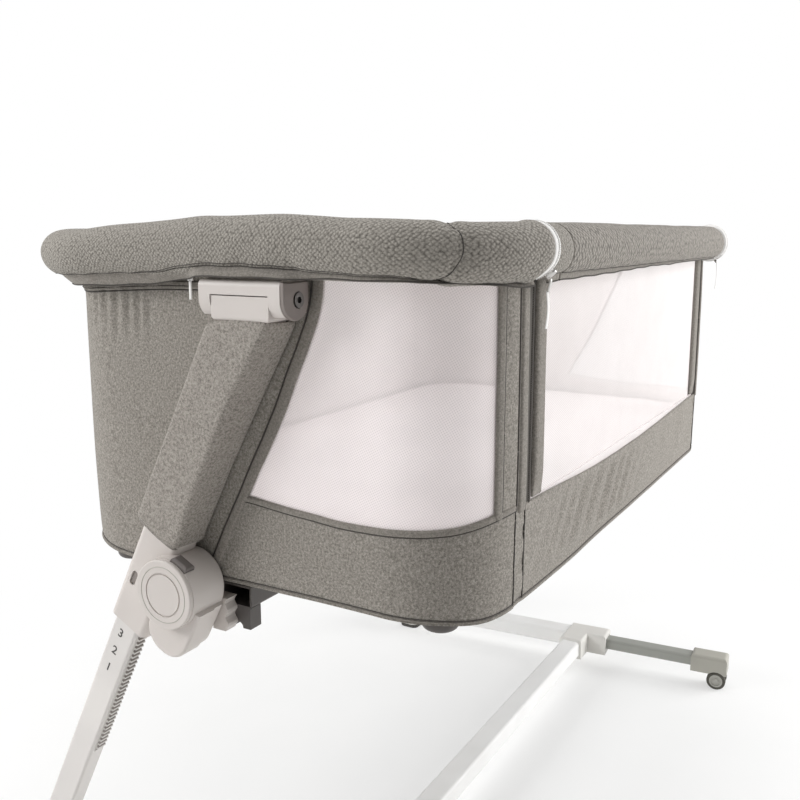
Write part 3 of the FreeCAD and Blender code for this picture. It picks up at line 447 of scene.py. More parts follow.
SLOT_FINISH: dict[str, Finish] = {
    "rim_knit": RIM_KNIT, "melange_fabric": MELANGE, "sleeve_fabric": SLEEVE_CLOTH, "net_fabric": NET,
    "lining_fabric": LINING, "sheet_fabric": SHEET, "board_wood": BOARD, "frame_steel": FRAME_PAINT,
    "leg_aluminium": ALUMINIUM, "leg_paint": LEG_PAINT, "light_plastic": LIGHT_PLASTIC, "dark_plastic": DARK_PLASTIC,
    "button_plastic": BUTTON_PLASTIC, "guide_plastic": GUIDE_PLASTIC, "bolt_steel": BOLT_METAL,
    "base_paint": BASE_PAINT, "base_plastic": BASE_PLASTIC, "slide_paint": SLIDE_PAINT, "tyre_rubber": TYRE,
    "wheel_plastic": WHEEL_PLASTIC, "pad_rubber": PAD, "zip_tape": ZIP_WHITE,
}
NODE_FINISH: dict[str, Finish] = {
    "hinge_caps": MID_PLASTIC, "castor_cap_near": CAP_PLASTIC, "castor_cap_far": CAP_PLASTIC,
    "lower_leg_near": RACK_PAINT, "lower_leg_far": RACK_PAINT,
}


# ------------------------------------------------------------------ meshes
def mesh_object(name: str, points: Array, faces: list[list[int]], finish: Finish,
                uv: Array | None = None) -> bpy.types.Object:
    """Make a smooth-shaded object from points in millimetres.

    Args:
        name: Name of the piece.
        points: Points in millimetres, as a list or grid of x, y, z.
        faces: Lists of point numbers, in outward order.
        finish: Finish of the piece.
        uv: Place of each point on the cloth, in millimetres.
    Returns:
        The object, at the world origin.
    """
    mesh = bpy.data.meshes.new(name)
    mesh.from_pydata((points.reshape(-1, 3) * MM).tolist(), [], faces)
    if uv is not None:
        layer = mesh.uv_layers.new(name="cloth")
        order = np.zeros(len(mesh.loops), np.int32)
        mesh.loops.foreach_get("vertex_index", order)
        layer.data.foreach_set("uv", uv.reshape(-1, 2)[order].astype(np.float32).ravel())
    mesh.polygons.foreach_set("use_smooth", np.ones(len(mesh.polygons), bool))
    mesh.materials.append(finish.make())
    mesh.validate()
    return placed(name, mesh)


def placed(name: str, data: bpy.types.ID) -> bpy.types.Object:
    """Put a mesh, curve, lamp or camera into the scene as an object at the world origin."""
    made = bpy.data.objects.new(name, data)
    bpy.context.scene.collection.objects.link(made)
    return made


def stacked(*parts: Array | float) -> Array:
    """Points from their coordinates given one by one; a single number holds for all of them."""
    return np.stack(np.broadcast_arrays(*parts), axis=-1)


def grid_faces(rows: int, columns: int, keep: Array | None = None, ring: bool = False, flip: bool = False,
               start: int = 0) -> list[list[int]]:
    """Quads of a grid whose point (i, j) has number start + i * columns + j.

    Args:
        rows: Points along the first parameter.
        columns: Points along the second parameter.
        keep: Mask of the quads that stay, (rows - 1) x (columns - 1), or with ring (rows - 1) x columns.
        ring: Close the second parameter.
        flip: Turn the faces over.
        start: Number of the first point.
    Returns:
        Lists of four point numbers.
    """
    across = columns if ring else columns - 1
    i, j = np.meshgrid(np.arange(rows - 1), np.arange(across), indexing="ij")
    k = (j + 1) % columns
    quads = start + np.stack([i * columns + j, (i + 1) * columns + j, (i + 1) * columns + k, i * columns + k],
                             axis=-1)
    if keep is not None:
        quads = quads[keep]
    quads = quads.reshape(-1, 4)
    if flip:
        quads = quads[:, ::-1]
    return quads.tolist()


def joined(name: str, parts: list[bpy.types.Object]) -> bpy.types.Object:
    """Join several objects into the first and name it."""
    bpy.ops.object.select_all(action="DESELECT")
    for part in parts:
        part.select_set(True)
    bpy.context.view_layer.objects.active = parts[0]
    if len(parts) > 1:
        bpy.ops.object.join()
    parts[0].name = name
    parts[0].data.name = name
    return parts[0]


def ring_face(first: int, count: int, turned: bool = False) -> list[int]:
    """Face that closes a ring of points, in the opposite order where turned."""
    face = list(range(first, first + count))
    return face[::-1] if turned else face


def thicken(piece: bpy.types.Object, thick: float) -> bpy.types.Object:
    """Give a sheet its thickness in millimetres; it grows inwards from its face."""
    solid = piece.modifiers.new("thickness", "SOLIDIFY")
    solid.thickness = thick * MM
    solid.offset = -1.0
    solid.use_even_offset = True
    return piece


def smoothstep(low: float, high: float, value: Array) -> Array:
    """Smooth rise from 0 at low to 1 at high."""
    t = np.clip((value - low) / (high - low), 0.0, 1.0)
    return t * t * (3.0 - 2.0 * t)


def between(value: Array, rise: tuple[float, float], fall: tuple[float, float]) -> Array:
    """Plateau: rises smoothly from 0 to 1 over rise and falls back to 0 over fall."""
    return smoothstep(*rise, value) * (1.0 - smoothstep(*fall, value))


def hump(value: Array, middle: Array | float, reach: float) -> Array:
    """Bell curve: 1 at middle and about a third at reach to either side."""
    return np.exp(-(((value - middle) / reach) ** 2))


def arch(across: Array, high: float, sink: float, power: int = 4) -> Array:
    """Section of a raised band over -1 to 1: a flat-topped arch of height high whose edges lie sink below zero."""
    return np.sqrt(np.clip(1.0 - across ** power, 0.0, None)) * (high + sink) - sink


def directions(path: Array) -> Array:
    """Unit direction of a path at each point, evened out with its neighbours' three times."""
    step = np.gradient(path, axis=0)
    step = step / np.maximum(np.linalg.norm(step, axis=1, keepdims=True), 1e-9)
    for _ in range(3):
        inner = (step[:-2] + 2.0 * step[1:-1] + step[2:]) / 4.0
        step[1:-1] = inner / np.linalg.norm(inner, axis=1, keepdims=True)
    return step


def wander(a: Array, b: Array, seed: float = 0.0) -> Array:
    """Gentle uneven waves between about -1 and 1: the mean of four sines of unlike lengths in a and b (mm)."""
    return (np.sin(a / 31.0 + b / 53.0 + seed) + np.sin(a / 17.0 - b / 41.0 + 2.1 * seed)
            + np.sin(a / 71.0 + b / 23.0 + 3.7 * seed) + np.sin(a / 43.0 - b / 97.0 + 5.3 * seed)) / 4.0


def spread(first: float, last: float, columns: int, rows: int) -> tuple[Array, Array]:
    """Grid of places from first to last along its columns, and of shares from 0 to 1 up its rows."""
    return tuple(np.meshgrid(np.linspace(first, last, columns), np.linspace(0.0, 1.0, rows), indexing="xy"))


def table(at: Array, pairs: Marks, soft: float) -> Array:
    """Value read off a table, with its corners rounded over plus and minus soft.

    Args:
        at: Where to read.
        pairs: Place and value of each mark, in rising order.
        soft: Reach of the rounding.
    Returns:
        The values.
    """
    places, values = zip(*pairs)
    steps = (-1.0, -0.5, 0.0, 0.5, 1.0)
    return sum(np.interp(np.asarray(at, float) + step * soft, places, values) for step in steps) / len(steps)


@dataclass(frozen=True)
class Plan:
    """Rounded rectangle in plan, followed by its length t in millimetres.

    t is 0 in the middle of the bed side and grows towards the near end (-X), then along the back to the far end.
    """

    half_x: float
    half_y: float
    corner: float

    @property
    def marks(self) -> list[float]:
        """Length at which each of the nine stretches ends."""
        side = self.half_x - self.corner
        arc = self.corner * math.pi / 2.0
        end = 2.0 * (self.half_y - self.corner)
        return list(np.cumsum([side, arc, end, arc, 2.0 * side, arc, end, arc, side]))

    @property
    def length(self) -> float:
        """Length of the whole loop."""
        return self.marks[-1]

    def at(self, t: Array) -> tuple[Array, Array, Array, Array]:
        """Place and outward direction at each length: straight stretches joined by quarter circles.

        Args:
            t: Lengths in millimetres; they wrap round the loop.
        Returns:
            x, y and the outward direction's x and y.
        """
        t = np.mod(t, self.length)
        m = self.marks
        cx, cy, r = self.half_x - self.corner, self.half_y - self.corner, self.corner
        one, zero = np.ones_like(t), np.zeros_like(t)
        turn = [(t - m[k]) / r for k in (0, 2, 4, 6)]
        normals = [(zero, -one), (-np.sin(turn[0]), -np.cos(turn[0])), (-one, zero),
                   (-np.cos(turn[1]), np.sin(turn[1])), (zero, one), (np.sin(turn[2]), np.cos(turn[2])),
                   (one, zero), (np.cos(turn[3]), -np.sin(turn[3])), (zero, -one)]
        middles = [(-t, -cy + zero), (-cx + zero, -cy + zero), (-cx + zero, -cy + (t - m[1])),
                   (-cx + zero, cy + zero), (-cx + (t - m[3]), cy + zero), (cx + zero, cy + zero),
                   (cx + zero, cy - (t - m[5])), (cx + zero, -cy + zero), (cx - (t - m[7]), -cy + zero)]
        stretch = [t < mark for mark in m]
        nx = np.select(stretch, [n[0] for n in normals], zero)
        ny = np.select(stretch, [n[1] for n in normals], -one)
        x = np.select(stretch, [p[0] for p in middles], zero) + nx * r
        y = np.select(stretch, [p[1] for p in middles], zero) + ny * r
        return x, y, nx, ny

    def from_bed(self, t: Array) -> Array:
        """Length from the middle of the bed side by the shorter way round."""
        t = np.mod(t, self.length)
        return np.minimum(t, self.length - t)

    def bed_side(self, x: float) -> float:
        """Length of the point of the bed side, or of the corners beside it, with this x."""
        flat = self.half_x - self.corner
        reach = abs(x)
        t = reach if reach <= flat else flat + self.corner * math.asin(min(1.0, (reach - flat) / self.corner))
        return t if x <= 0.0 else self.length - t

    def end_side(self, y: float, end: End = End.NEAR) -> float:
        """Length of the point with this y on the straight stretch of one end."""
        t = self.marks[1] + y + self.half_y - self.corner
        return t if end is End.NEAR else self.length - t


# ------------------------------------------------------------------ padded rim
# Marks along the rim: millimetres past the middle of a short end, negative towards the bed side, and the value there.
FOLD_ANGLES: Marks = (
    (-316, -1.02), (-305, -1.2), (-297, -1.3), (-285, -1.36), (-250, -1.42), (-225, -1.3), (-200, -1.12),
    (-179, -0.98), (-155, -0.93), (-133, -0.87), (-107, -0.77), (-83, -0.64), (-45, -0.56), (-5, -0.56), (24, -0.70),
    (53, -1.02), (80, -1.15), (99, -1.22), (147, -1.25), (217, -1.25), (307, -1.1), (400, -1.02),
)
CROWN_LIFTS: Marks = (
    (-330, 1.0), (-260, 0.5), (-221, 0), (-205, 1), (-188, 2), (-170, 2.6), (-152, 3.2), (-134, 3.3), (-115, 4.7),
    (-95, 5.6), (-75, 6.9), (-55, 6.7), (-34, 6.4), (-12, 6.0), (10, 6.6), (33, 4.2), (56, 2.6), (80, 1.2),
    (105, 0.3), (131, -0.6), (157, -1.8), (185, -2.0), (217, -1.2), (260, 0.3), (307, 0.5), (420, 0.0),
)
CORNER_SAGS: Marks = ((60, 0), (105, -0.5), (131, -1.5), (157, -3), (217, -4), (330, -4), (480, 0))
SKIRT_EDGE: Marks = (
    (-709, 709), (-620, 708.5), (-500, 706.5), (-340, 705), (-307, 704.5), (-297, 703), (-287, 702), (-278, 702.3),
    (-262, 704.5), (-240, 705.5), (-219, 707.3), (-165, 708.7), (-131, 709.1), (-104, 708.6), (-52, 709.6), (0, 709),
    (12, 708), (26, 705.5), (42, 703.5), (77, 699.5), (112, 697.5), (155, 696), (217, 695), (307, 697), (400, 699),
    (480, 702),
)
SKIRT_REACH: Marks = (
    (-709, 12), (-500, 11), (-307, 9), (-260, 9), (-240, 9.5), (-219, 11.3), (-165, 12.5), (-131, 13.2),
    (-113, 14.5), (-104, 17), (-95, 22), (-88, 25.8), (-52, 26), (0, 25.8), (8, 20), (16, 12), (26, 6), (42, 2),
    (77, 0), (150, -1), (217, -5), (260, -8), (480, -8),
)
HEM_EDGE: Marks = ((24, 694.9), (82, 693.9), (138, 690.9), (181, 688.2), (290, 689.0), (420, 692.0), (627, 693.0))


@dataclass
class PaddedRim:
    """Foam-filled knit covers round the frame tube of the rim.

    Sizes: half_x, half_y and corner of the tube's centre line, radius of the padding, mid_z its height, the ends of
    the folding bed side, zip_from and zip_to the groove of the zip round the rim, around the points of a section.
    """

    half_x: float = 442.0
    half_y: float = 250.0
    corner: float = 100.0
    radius: float = 23.0
    mid_z: float = 730.0
    bed_near_x: float = -305.0
    bed_far_x: float = 335.0
    zip_from: tuple[float, float] = (331.0, 336.0)
    zip_to: tuple[float, float] = (344.0, 348.0)
    around: int = 72
    plan: Plan = field(init=False)

    def __post_init__(self) -> None:
        """Work out the plan."""
        self.plan = Plan(self.half_x, self.half_y, self.corner)

    def past_end(self, t: Array) -> Array:
        """Length past the middle of the nearer short end; negative towards the bed side."""
        return self.plan.from_bed(t) - self.plan.end_side(0.0)

    def fold_angle(self, t: Array) -> Array:
        """Angle of the sewn fold that runs along the padding; it climbs where the cover passes a hinge bracket."""
        return table(self.past_end(t), FOLD_ANGLES, 8.0)

    def crown(self, t: Array) -> Array:
        """Lift of the padding's top: highest over the hinge bracket, low and slack towards the back corner."""
        return table(self.past_end(t), CROWN_LIFTS, 10.0)

    def settle(self, t: Array) -> Array:
        """Height of the padding's middle: it sags a little towards the back corners."""
        return self.mid_z + table(self.past_end(t), CORNER_SAGS, 15.0)

    def seams(self) -> list[float]:
        """Lengths at which a seam runs round the padding: beside the bed side and behind the back corners."""
        near, back = self.plan.marks[0] + 84.0, self.plan.marks[3] + 40.0
        return [near, back, self.plan.length - near, self.plan.length - back]

    def zip_lean(self, t: Array, angle: Array) -> Array:
        """How far the near zip runs towards the short end at each angle: it slants under the padding."""
        a = np.clip(angle, -1.5, 1.3)
        near = np.mod(t, self.plan.length) < self.plan.length / 2.0
        return np.where(near, 3.0 - 3.0 * a + 6.0 * np.clip(-a - 0.4, 0.0, None), 0.0)

    def seam_place(self, seam: float, angle: Array) -> Array:
        """Length of a cross seam at each angle: the bed-side ones lean towards the short end below and above."""
        if min(seam, self.plan.length - seam) > self.plan.marks[1]:
            return np.full_like(np.asarray(angle, float), seam)
        a = np.clip(angle, -1.25, 1.25)
        bend = 7.7 * a * a - 4.3 * a
        return seam + (bend if seam < self.plan.length / 2.0 else -bend)

    def size(self, t: Array, angle: Array) -> Array:
        """Radius of the padding: full between the seams, drawn in at a seam, raised over each hinge bracket.

        Args:
            t: Length along the rim.
            angle: Angle round the padding, 0 outwards and a right angle up.
        Returns:
            Radius in millimetres.
        """
        t, angle = np.broadcast_arrays(np.asarray(t, float), np.asarray(angle, float))
        past, fold = self.past_end(t), self.fold_angle(t)
        out, up, down = (np.clip(part, 0.0, 1.0) for part in (np.cos(angle), np.sin(angle), -np.sin(angle)))
        r = np.full(t.shape, self.radius)
        for seam in self.seams():
            # The thread draws the cover in, and the foam swells on both sides of it.
            gap = t - self.seam_place(seam, angle)
            r = r - 1.7 * hump(gap, 0.0, 4.0) * (1.0 + 0.3 * np.sin(angle * 9.0 + seam))
            r = r + 0.5 * hump(np.abs(gap), 11.0, 6.0)
        # Crown on top, a slack belly under the bed-side corners, and a swelling outwards over the bracket.
        r = r + self.crown(t) * up ** 1.4
        r = r + 2.6 * between(past, (-303.0, -280.0), (-222.0, -190.0)) * down ** 2
        r = r + 1.2 * hump(past, -44.0, 62.0) * out
        # Pulled folds beside the bracket and the dimple where they end.
        pull = hump(past, -60.0, 62.0) * np.clip(np.cos(angle + 0.5), 0.0, 1.0)
        r = r + 0.5 * pull * np.sin((past + 44.0) / 6.2 + 2.4 * np.sin(angle))
        r = r - 1.5 * hump(past, -97.0, 5.0) * hump(angle, -0.45, 0.32)
        # Valley of the sewn fold, one of the inner seam, and small gathers above the fold.
        inner = hump(angle, math.pi + 1.02, 0.09) + hump(angle, 1.02 - math.pi, 0.09)
        r = r - 1.2 * hump(angle, fold, 0.085) - 0.8 * inner
        r = r + 0.4 * hump(angle, fold + 0.1, 0.16) * np.sin(t / 5.5 + np.sin(t / 31.0))
        # Groove of the zip round the rim with a swelling behind it, and unevenness all over.
        ring = self.plan.from_bed(t) - self.zip_lean(t, angle)
        groove = smoothstep(*self.zip_from, ring) - smoothstep(*self.zip_to, ring)
        r = r - 0.9 * groove + 1.6 * hump(ring, 353.0, 7.0)
        return r + 0.5 * wander(t, angle * self.radius * 2.0, 0.7)

    def surface(self, t: Array, angle: Array, lift: Array | float = 0.0) -> Array:
        """Points on the padding at each length and angle, raised by lift."""
        t, angle = np.broadcast_arrays(np.asarray(t, float), np.asarray(angle, float))
        r = self.size(t, angle) + lift
        x, y, nx, ny = self.plan.at(t)
        return stacked(x + nx * r * np.cos(angle), y + ny * r * np.cos(angle), self.settle(t) + r * np.sin(angle))

    def skin(self, name: str, t0: float, t1: float, finish: Finish = RIM_KNIT) -> bpy.types.Object:
        """Closed padding from one length to another: a circle of changing radius carried along the plan.

        Args:
            name: Name of the piece.
            t0: First length.
            t1: Last length, larger than t0.
            finish: Finish of the cover.
        Returns:
            The piece, with its knit laid out in millimetres.
        """
        # Four rings close each end: their share of the full radius and how far they bulge out.
        lips, swell = np.array([0.02, 0.7, 0.93, 0.985]), np.array([0.3, 0.3, 0.2, 0.0])
        t = np.linspace(t0, t1, int((t1 - t0) / 4.0))
        t = np.concatenate([np.full(4, t0), t[1:-1], np.full(4, t1)])
        share, bulge = np.ones_like(t), np.zeros_like(t)
        share[:4], share[-4:] = lips, lips[::-1]
        bulge[:4], bulge[-4:] = -swell, swell
        edge = np.minimum(t - t0, t1 - t)
        share = share * (1.0 - 0.02 * np.exp(-edge / 2.5) * (share > 0.99))
        angle = np.linspace(-math.pi, math.pi, self.around, endpoint=False)
        tt, aa = np.meshgrid(t, angle, indexing="ij")
        r = self.size(tt, aa) * share[:, None]
        x, y, nx, ny = self.plan.at(tt)
        points = stacked(x + nx * r * np.cos(aa) + bulge[:, None] * ny * 0.5,
                         y + ny * r * np.cos(aa) - bulge[:, None] * nx * 0.5, self.settle(tt) + r * np.sin(aa))
        faces = grid_faces(len(t), self.around, ring=True, flip=True)
        faces += [ring_face(0, self.around), ring_face((len(t) - 1) * self.around, self.around, turned=True)]
        return mesh_object(name, points, faces, finish, stacked(tt, aa * self.radius * share[:, None]))

    def ring_at(self, t: float, lift: float) -> Array:
        """Path of a seam round the padding at one length, as points in millimetres."""
        angle = np.linspace(-math.pi, math.pi, self.around)
        return self.surface(self.seam_place(t, angle), angle, lift)

    def line_along(self, shift: float, t0: float, t1: float, lift: float) -> Array:
        """Path of a line along the padding's fold, shifted round it by an angle, as points in millimetres."""
        t = np.arange(t0, t1, 3.0)
        return self.surface(t, self.fold_angle(t) + shift, lift)

    def wrap(self, name: str, t0: float, t1: float, high: float, finish: Finish) -> bpy.types.Object:
        """Raised band round the padding between two lengths: an arch with its edges under the cover."""
        across = np.linspace(-1.0, 1.0, 15)
        angle = np.linspace(-math.pi, math.pi, 96, endpoint=False)
        ss, aa = np.meshgrid(across, angle, indexing="ij")
        tt = (t0 + t1) / 2.0 + ss * (t1 - t0) / 2.0
        points = self.surface(tt + self.zip_lean(tt, aa), aa, arch(ss, high, 0.8))
        return mesh_object(name, points, grid_faces(15, 96, ring=True, flip=True), finish)


def tube_along(name: str, path: Array, radius: float, finish: Finish, around: int = 6, closed: bool = False,
               flat: float = 1.0, normal: Array | None = None) -> bpy.types.Object:
    """Round or flattened cord along a path: a circle carried along it, in planes square to the path.

    Args:
        name: Name of the piece.
        path: N x 3 points in millimetres.
        radius: Radius of the cord.
        finish: Its finish.
        around: Points round the section.
        closed: Join the end to the start.
        flat: Height of the section along normal, as a share of its width.
        normal: Direction in which the section is flattened; straight up if it isn't given.
    Returns:
        The piece.
    """
    if closed:
        step = np.roll(path, -1, axis=0) - np.roll(path, 1, axis=0)
    else:
        step = np.gradient(path, axis=0)
    step = step / np.maximum(np.linalg.norm(step, axis=1, keepdims=True), 1e-9)
    up = np.broadcast_to(ALONG_Z if normal is None else normal, path.shape).astype(float)
    side = np.cross(step, up)
    weak = np.linalg.norm(side, axis=1) < 1e-3
    side[weak] = np.cross(step[weak], ALONG_Y)
    side = side / np.linalg.norm(side, axis=1, keepdims=True)
    up = np.cross(side, step)
    angle = np.linspace(0.0, 2.0 * math.pi, around, endpoint=False)
    ring = side[:, None, :] * np.cos(angle)[None, :, None] + up[:, None, :] * (np.sin(angle) * flat)[None, :, None]
    rows = len(path)
    last = (rows - 1) * around
    faces = grid_faces(rows, around, ring=True, flip=True)
    if closed:
        faces += [[last + j, last + (j + 1) % around, (j + 1) % around, j] for j in range(around)]
    else:
        faces += [ring_face(0, around), ring_face(last, around, turned=True)]
    made = mesh_object(name, path[:, None, :] + ring * radius, faces, finish)
    outward(made)
    return made


def outward(piece: bpy.types.Object, merge: bool = False) -> None:
    """Make the faces of a closed mesh point outwards, with its doubled points merged first where asked."""
    work = bmesh.new()
    work.from_mesh(piece.data)
    if merge:
        bmesh.ops.remove_doubles(work, verts=work.verts, dist=1e-5)
    bmesh.ops.recalc_face_normals(work, faces=work.faces)
    work.to_mesh(piece.data)
    work.free()


# ------------------------------------------------------------------ fabric basket
# Place across the crib of the slanting strip's middle at each height.
STRIP_PLACES: Marks = (
    (424, 34), (447, 23), (468.6, 12.4), (497, -2.8), (509, -9.5), (534, -22), (563.4, -38), (595, -54),
    (628.5, -68.5), (644, -76), (670, -87), (684, -91.5), (698, -94), (712, -94.5),
)
# Heights of the window's lower edge and of the wall's lower edge at lengths round the plan, and of the band's
# upper edge at places along the crib.
SILL_HEIGHTS: Marks = (
    (340, 514), (356, 513), (370, 511.5), (383, 509), (409, 504.7), (435, 503), (462, 502.2), (488, 501.4),
    (515, 501.4), (541, 503.7), (567, 505.2), (594, 508), (612, 509.8),
)
LOWER_EDGE: Marks = (
    (-1254, 431), (-860, 431), (-780, 427), (-700, 424), (-500, 424), (-409, 421.5), (-337, 421), (-200, 420),
    (0, 419.5), (95, 420), (170, 418), (222, 418.5), (278, 419.7), (309, 420.6), (330, 421), (356, 420),
    (383, 418.3), (400, 419.8), (420, 421.8), (448, 423.5), (480, 425), (541, 425.5), (600, 425), (700, 424),
    (780, 427), (860, 431), (1254, 431),
)
BAND_TOP: Marks = (
    (-321, 509.3), (-273, 507.6), (-233, 505.5), (-174, 502), (-108, 499), (-34, 498), (50, 498.4), (146, 500.5),
    (256, 504.5), (292, 506), (345, 507),
)


@dataclass
class Basket:
    """Outer cloth of the basket as a surface of length t round the plan and height z.

    Sizes: the wall's outer face in plan, the heights of its bottom, window sill and head, the ends of the folding
    bed side, the lengths at which the near and far end walls meet the band, and the window's upright edge.
    """

    half_x: float = 425.0
    half_y: float = 240.0
    corner: float = 88.0
    base_z: float = 424.0
    sill_z: float = 509.5
    head_z: float = 714.0
    bed_near_x: float = -305.0
    bed_far_x: float = 335.0
    near_edge: float = 321.0
    far_edge: float = 343.0
    window_t: float = 370.0
    plan: Plan = field(init=False)

    def __post_init__(self) -> None:
        """Work out the plan."""
        self.plan = Plan(self.half_x, self.half_y, self.corner)

    def sway(self, t: Array, z: Array) -> Array:
        """How far the cloth stands out: a slight belly, gathers under the rim, slack and pulled folds.

        Args:
            t: Length along the plan.
            z: Height.
        Returns:
            Outward distance in millimetres.
        """
        up = (z - self.base_z) / (self.head_z - self.base_z)
        out = 1.0 * np.sin(math.pi * np.clip(up, 0.0, 1.0)) + 0.45 * wander(t, z, 1.3)
        tt = self.plan.from_bed(t)
        # Small folds under the rim round the back corner.
        under = np.exp(-np.clip(self.head_z - z, 0.0, None) / 46.0)
        fold = np.sin(tt / 4.4 + 1.1 * np.sin(tt / 23.0) + z / 160.0)
        out = out + 0.45 * between(tt, (660.0, 720.0), (900.0, 1010.0)) * under * fold
        # Deeper gathers where the cloth is sewn to the rim beside the leg.
        gather = between(tt, (712.0, 738.0), (798.0, 840.0)) * smoothstep(632.0, 684.0, z)
        out = out + 1.7 * gather * np.sin(tt / 2.25 + 0.9 * np.sin(tt / 19.0) + z / 75.0)
        # The back is drawn in below the rim, and a little more towards its lower edge.
        slope = np.clip((self.head_z - z) / (self.head_z - self.base_z), 0.0, 1.0)
        edge = np.exp(-np.clip(z - self.low(tt), 0.0, None) / 9.0)
        drawn = 2.8 * smoothstep(0.0, 0.12, slope) + 1.2 * slope ** 1.5 + 1.2 * edge
        out = out - smoothstep(745.0, 830.0, tt) * drawn
        # Puckers along the seam below the bed-side corner.
        pucker = between(tt, (321.0, 326.0), (338.0, 343.0)) * (1.0 - smoothstep(500.0, 512.0, z))
        return out + 1.3 * pucker * np.sin(z / 4.6 + 0.8 * np.sin(z / 13.0))

    def band_sway(self, x: Array, z: Array) -> Array:
        """Pulled folds of the band below the bed side: ridges that lean with height, strongest left of the middle."""
        out = 0.35 * wander(x, z, 2.2) + 0.5 * np.sin(math.pi * np.clip((z - self.base_z) / 84.0, 0.0, 1.0))
        lean = x - (z - 465.0) * 0.85
        ridge = np.sin(lean / 6.2 + 1.4 * np.sin(lean / 37.0))
        top = between(z, (424.0, 445.0), (480.0, 499.0))
        bulge = 2.1 * hump(x, -100.0, 125.0) * top * (ridge - 0.35 * ridge * ridge)
        return out + bulge + 0.35 * top * np.sin(lean / 13.0)

    def stand(self, t: Array, z: Array) -> Array:
        """How far the wall's face stands out from the plan: the band's own folds on the bed side, else the sway."""
        x, y, _, _ = self.plan.at(t)
        band = (np.abs(y + self.half_y) < 0.01) & (x > -self.near_edge - 0.2) & (x < self.far_edge + 0.2)
        return np.where(band, self.band_sway(x, z), self.sway(t, z))

    def wall(self, t: Array, z: Array, out: Array | float = 0.0) -> Array:
        """Points of the wall: the plan at that length, moved outwards by its stand and by out."""
        t, z = np.broadcast_arrays(np.asarray(t, float), np.asarray(z, float))
        x, y, nx, ny = self.plan.at(t)
        stand = self.stand(t, z) + out
        return stacked(x + nx * stand, y + ny * stand, z)

    def strip_t(self, z: Array, shift: float = 0.0) -> Array:
        """Length of the slanting strip's middle at each height, shifted across the crib.

        The strip leans like the leg and steepens under the rim.
        """
        return self.plan.marks[1] + table(z, STRIP_PLACES, 5.0) + shift + self.half_y - self.corner

    def sill(self, t: Array) -> Array:
        """Height of the window's lower edge: a little slack between the corner and the slanting strip."""
        return table(t, SILL_HEIGHTS, 6.0)

    def low(self, t: Array) -> Array:
        """Height of the wall's lower edge all the way round."""
        t = np.mod(t, self.plan.length)
        return table(np.where(t > self.plan.length / 2.0, t - self.plan.length, t), LOWER_EDGE, 10.0)

    def band_top(self, x: Array) -> Array:
        """Height of the front band's upper edge, which sags between the corners."""
        return table(x, BAND_TOP, 10.0)

    def end_grid(self, mirrored: bool) -> tuple[Array, Array, Array]:
        """Grid of length and height for one end wall, and the cells that the window leaves out.

        Its columns run up beside the window, over the window and beyond it to the back corner; its rows follow
        the lower edge and the sill.

        Args:
            mirrored: The wall is that of the far end.
        Returns:
            Lengths, heights and the mask of cells that stay.
        """
        start = self.far_edge if mirrored else self.near_edge
        right, last = self.window_t, self.plan.marks[3]
        strip = np.linspace(start, right, 14)
        inside = np.linspace(0.0, 1.0, 34) ** 1.15
        beyond = np.linspace(0.0, 1.0, 130)
        level = np.concatenate([np.linspace(0.0, 1.0, 16), 1.0 + np.linspace(0.0, 1.0, 50)[1:]])
        rows_z, rows_t = [], []
        for value in level:
            below = value <= 1.0
            rough = self.sill_z if below else self.sill_z + (value - 1.0) * (self.head_z - self.sill_z)
            left = float(self.strip_t(np.array(rough), -5.0))
            row = np.concatenate([strip, right + inside[1:] * (left - right), left + beyond[1:] * (last - left)])
            floor, sill = self.low(self.plan.length - row if mirrored else row), self.sill(row)
            rows_z.append(floor + value * (sill - floor) if below else sill + (value - 1.0) * (self.head_z - sill))
            rows_t.append(row)
        t, z = np.array(rows_t), np.array(rows_z)
        keep = np.ones((len(level) - 1, t.shape[1] - 1), bool)
        keep[15:, 13:13 + 33] = False
        return t, z, keep

    def sheet(self, name: str, t: Array, z: Array, out: Array | float, finish: Finish, keep: Array | None = None,
              mirrored: bool = False, inward: bool = False) -> bpy.types.Object:
        """Cloth over a grid of lengths and heights.

        Args:
            name: Name of the piece.
            t: Lengths on the near half of the plan.
            z: Heights.
            out: Outward offset from the wall's face.
            finish: Finish of the cloth.
            keep: Cells that stay.
            mirrored: Make it at the far end.
            inward: Turn its face to the inside of the crib.
        Returns:
            The piece.
        """
        points = self.wall(self.plan.length - t if mirrored else t, z, out)
        faces = grid_faces(*t.shape, keep=keep, flip=mirrored != inward)
        return mesh_object(name, points, faces, finish, stacked(t, z))

    def band_on_wall(self, name: str, path: Array, offset: float, wide: float, high: float,
                     mirrored: bool = False) -> bpy.types.Object:
        """Raised binding that follows a line on the wall: a flattened arch carried along it.

        Args:
            name: Name of the piece.
            path: N x 2 lengths and heights.
            offset: Sideways shift of the band's middle, to the left of the path's direction.
            wide: Width of the band.
            high: Height of its crown above the wall.
            mirrored: Make it at the far end.
        Returns:
            The piece.
        """
        step = directions(path)
        s = np.linspace(-1.0, 1.0, 13)
        shift = offset + s[None, :] * wide / 2.0
        t = path[:, None, 0] - step[:, None, 1] * shift
        z = path[:, None, 1] + step[:, None, 0] * shift
        points = self.wall(self.plan.length - t if mirrored else t, z, np.broadcast_to(arch(s, high, 0.3), t.shape))
        return mesh_object(name, points, grid_faces(len(path), 13, flip=not mirrored), BINDING, stacked(t, z))

    def seam_on_wall(self, name: str, path: Array, offset: float, radius: float, lift: float,
                     mirrored: bool = False) -> bpy.types.Object:
        """Thin stitched line that follows a line on the wall, shifted to its left by offset and raised by lift."""
        step = directions(path)
        t, z = path[:, 0] - step[:, 1] * offset, path[:, 1] + step[:, 0] * offset
        return tube_along(name, self.wall(self.plan.length - t if mirrored else t, z, lift), radius, SEAM)


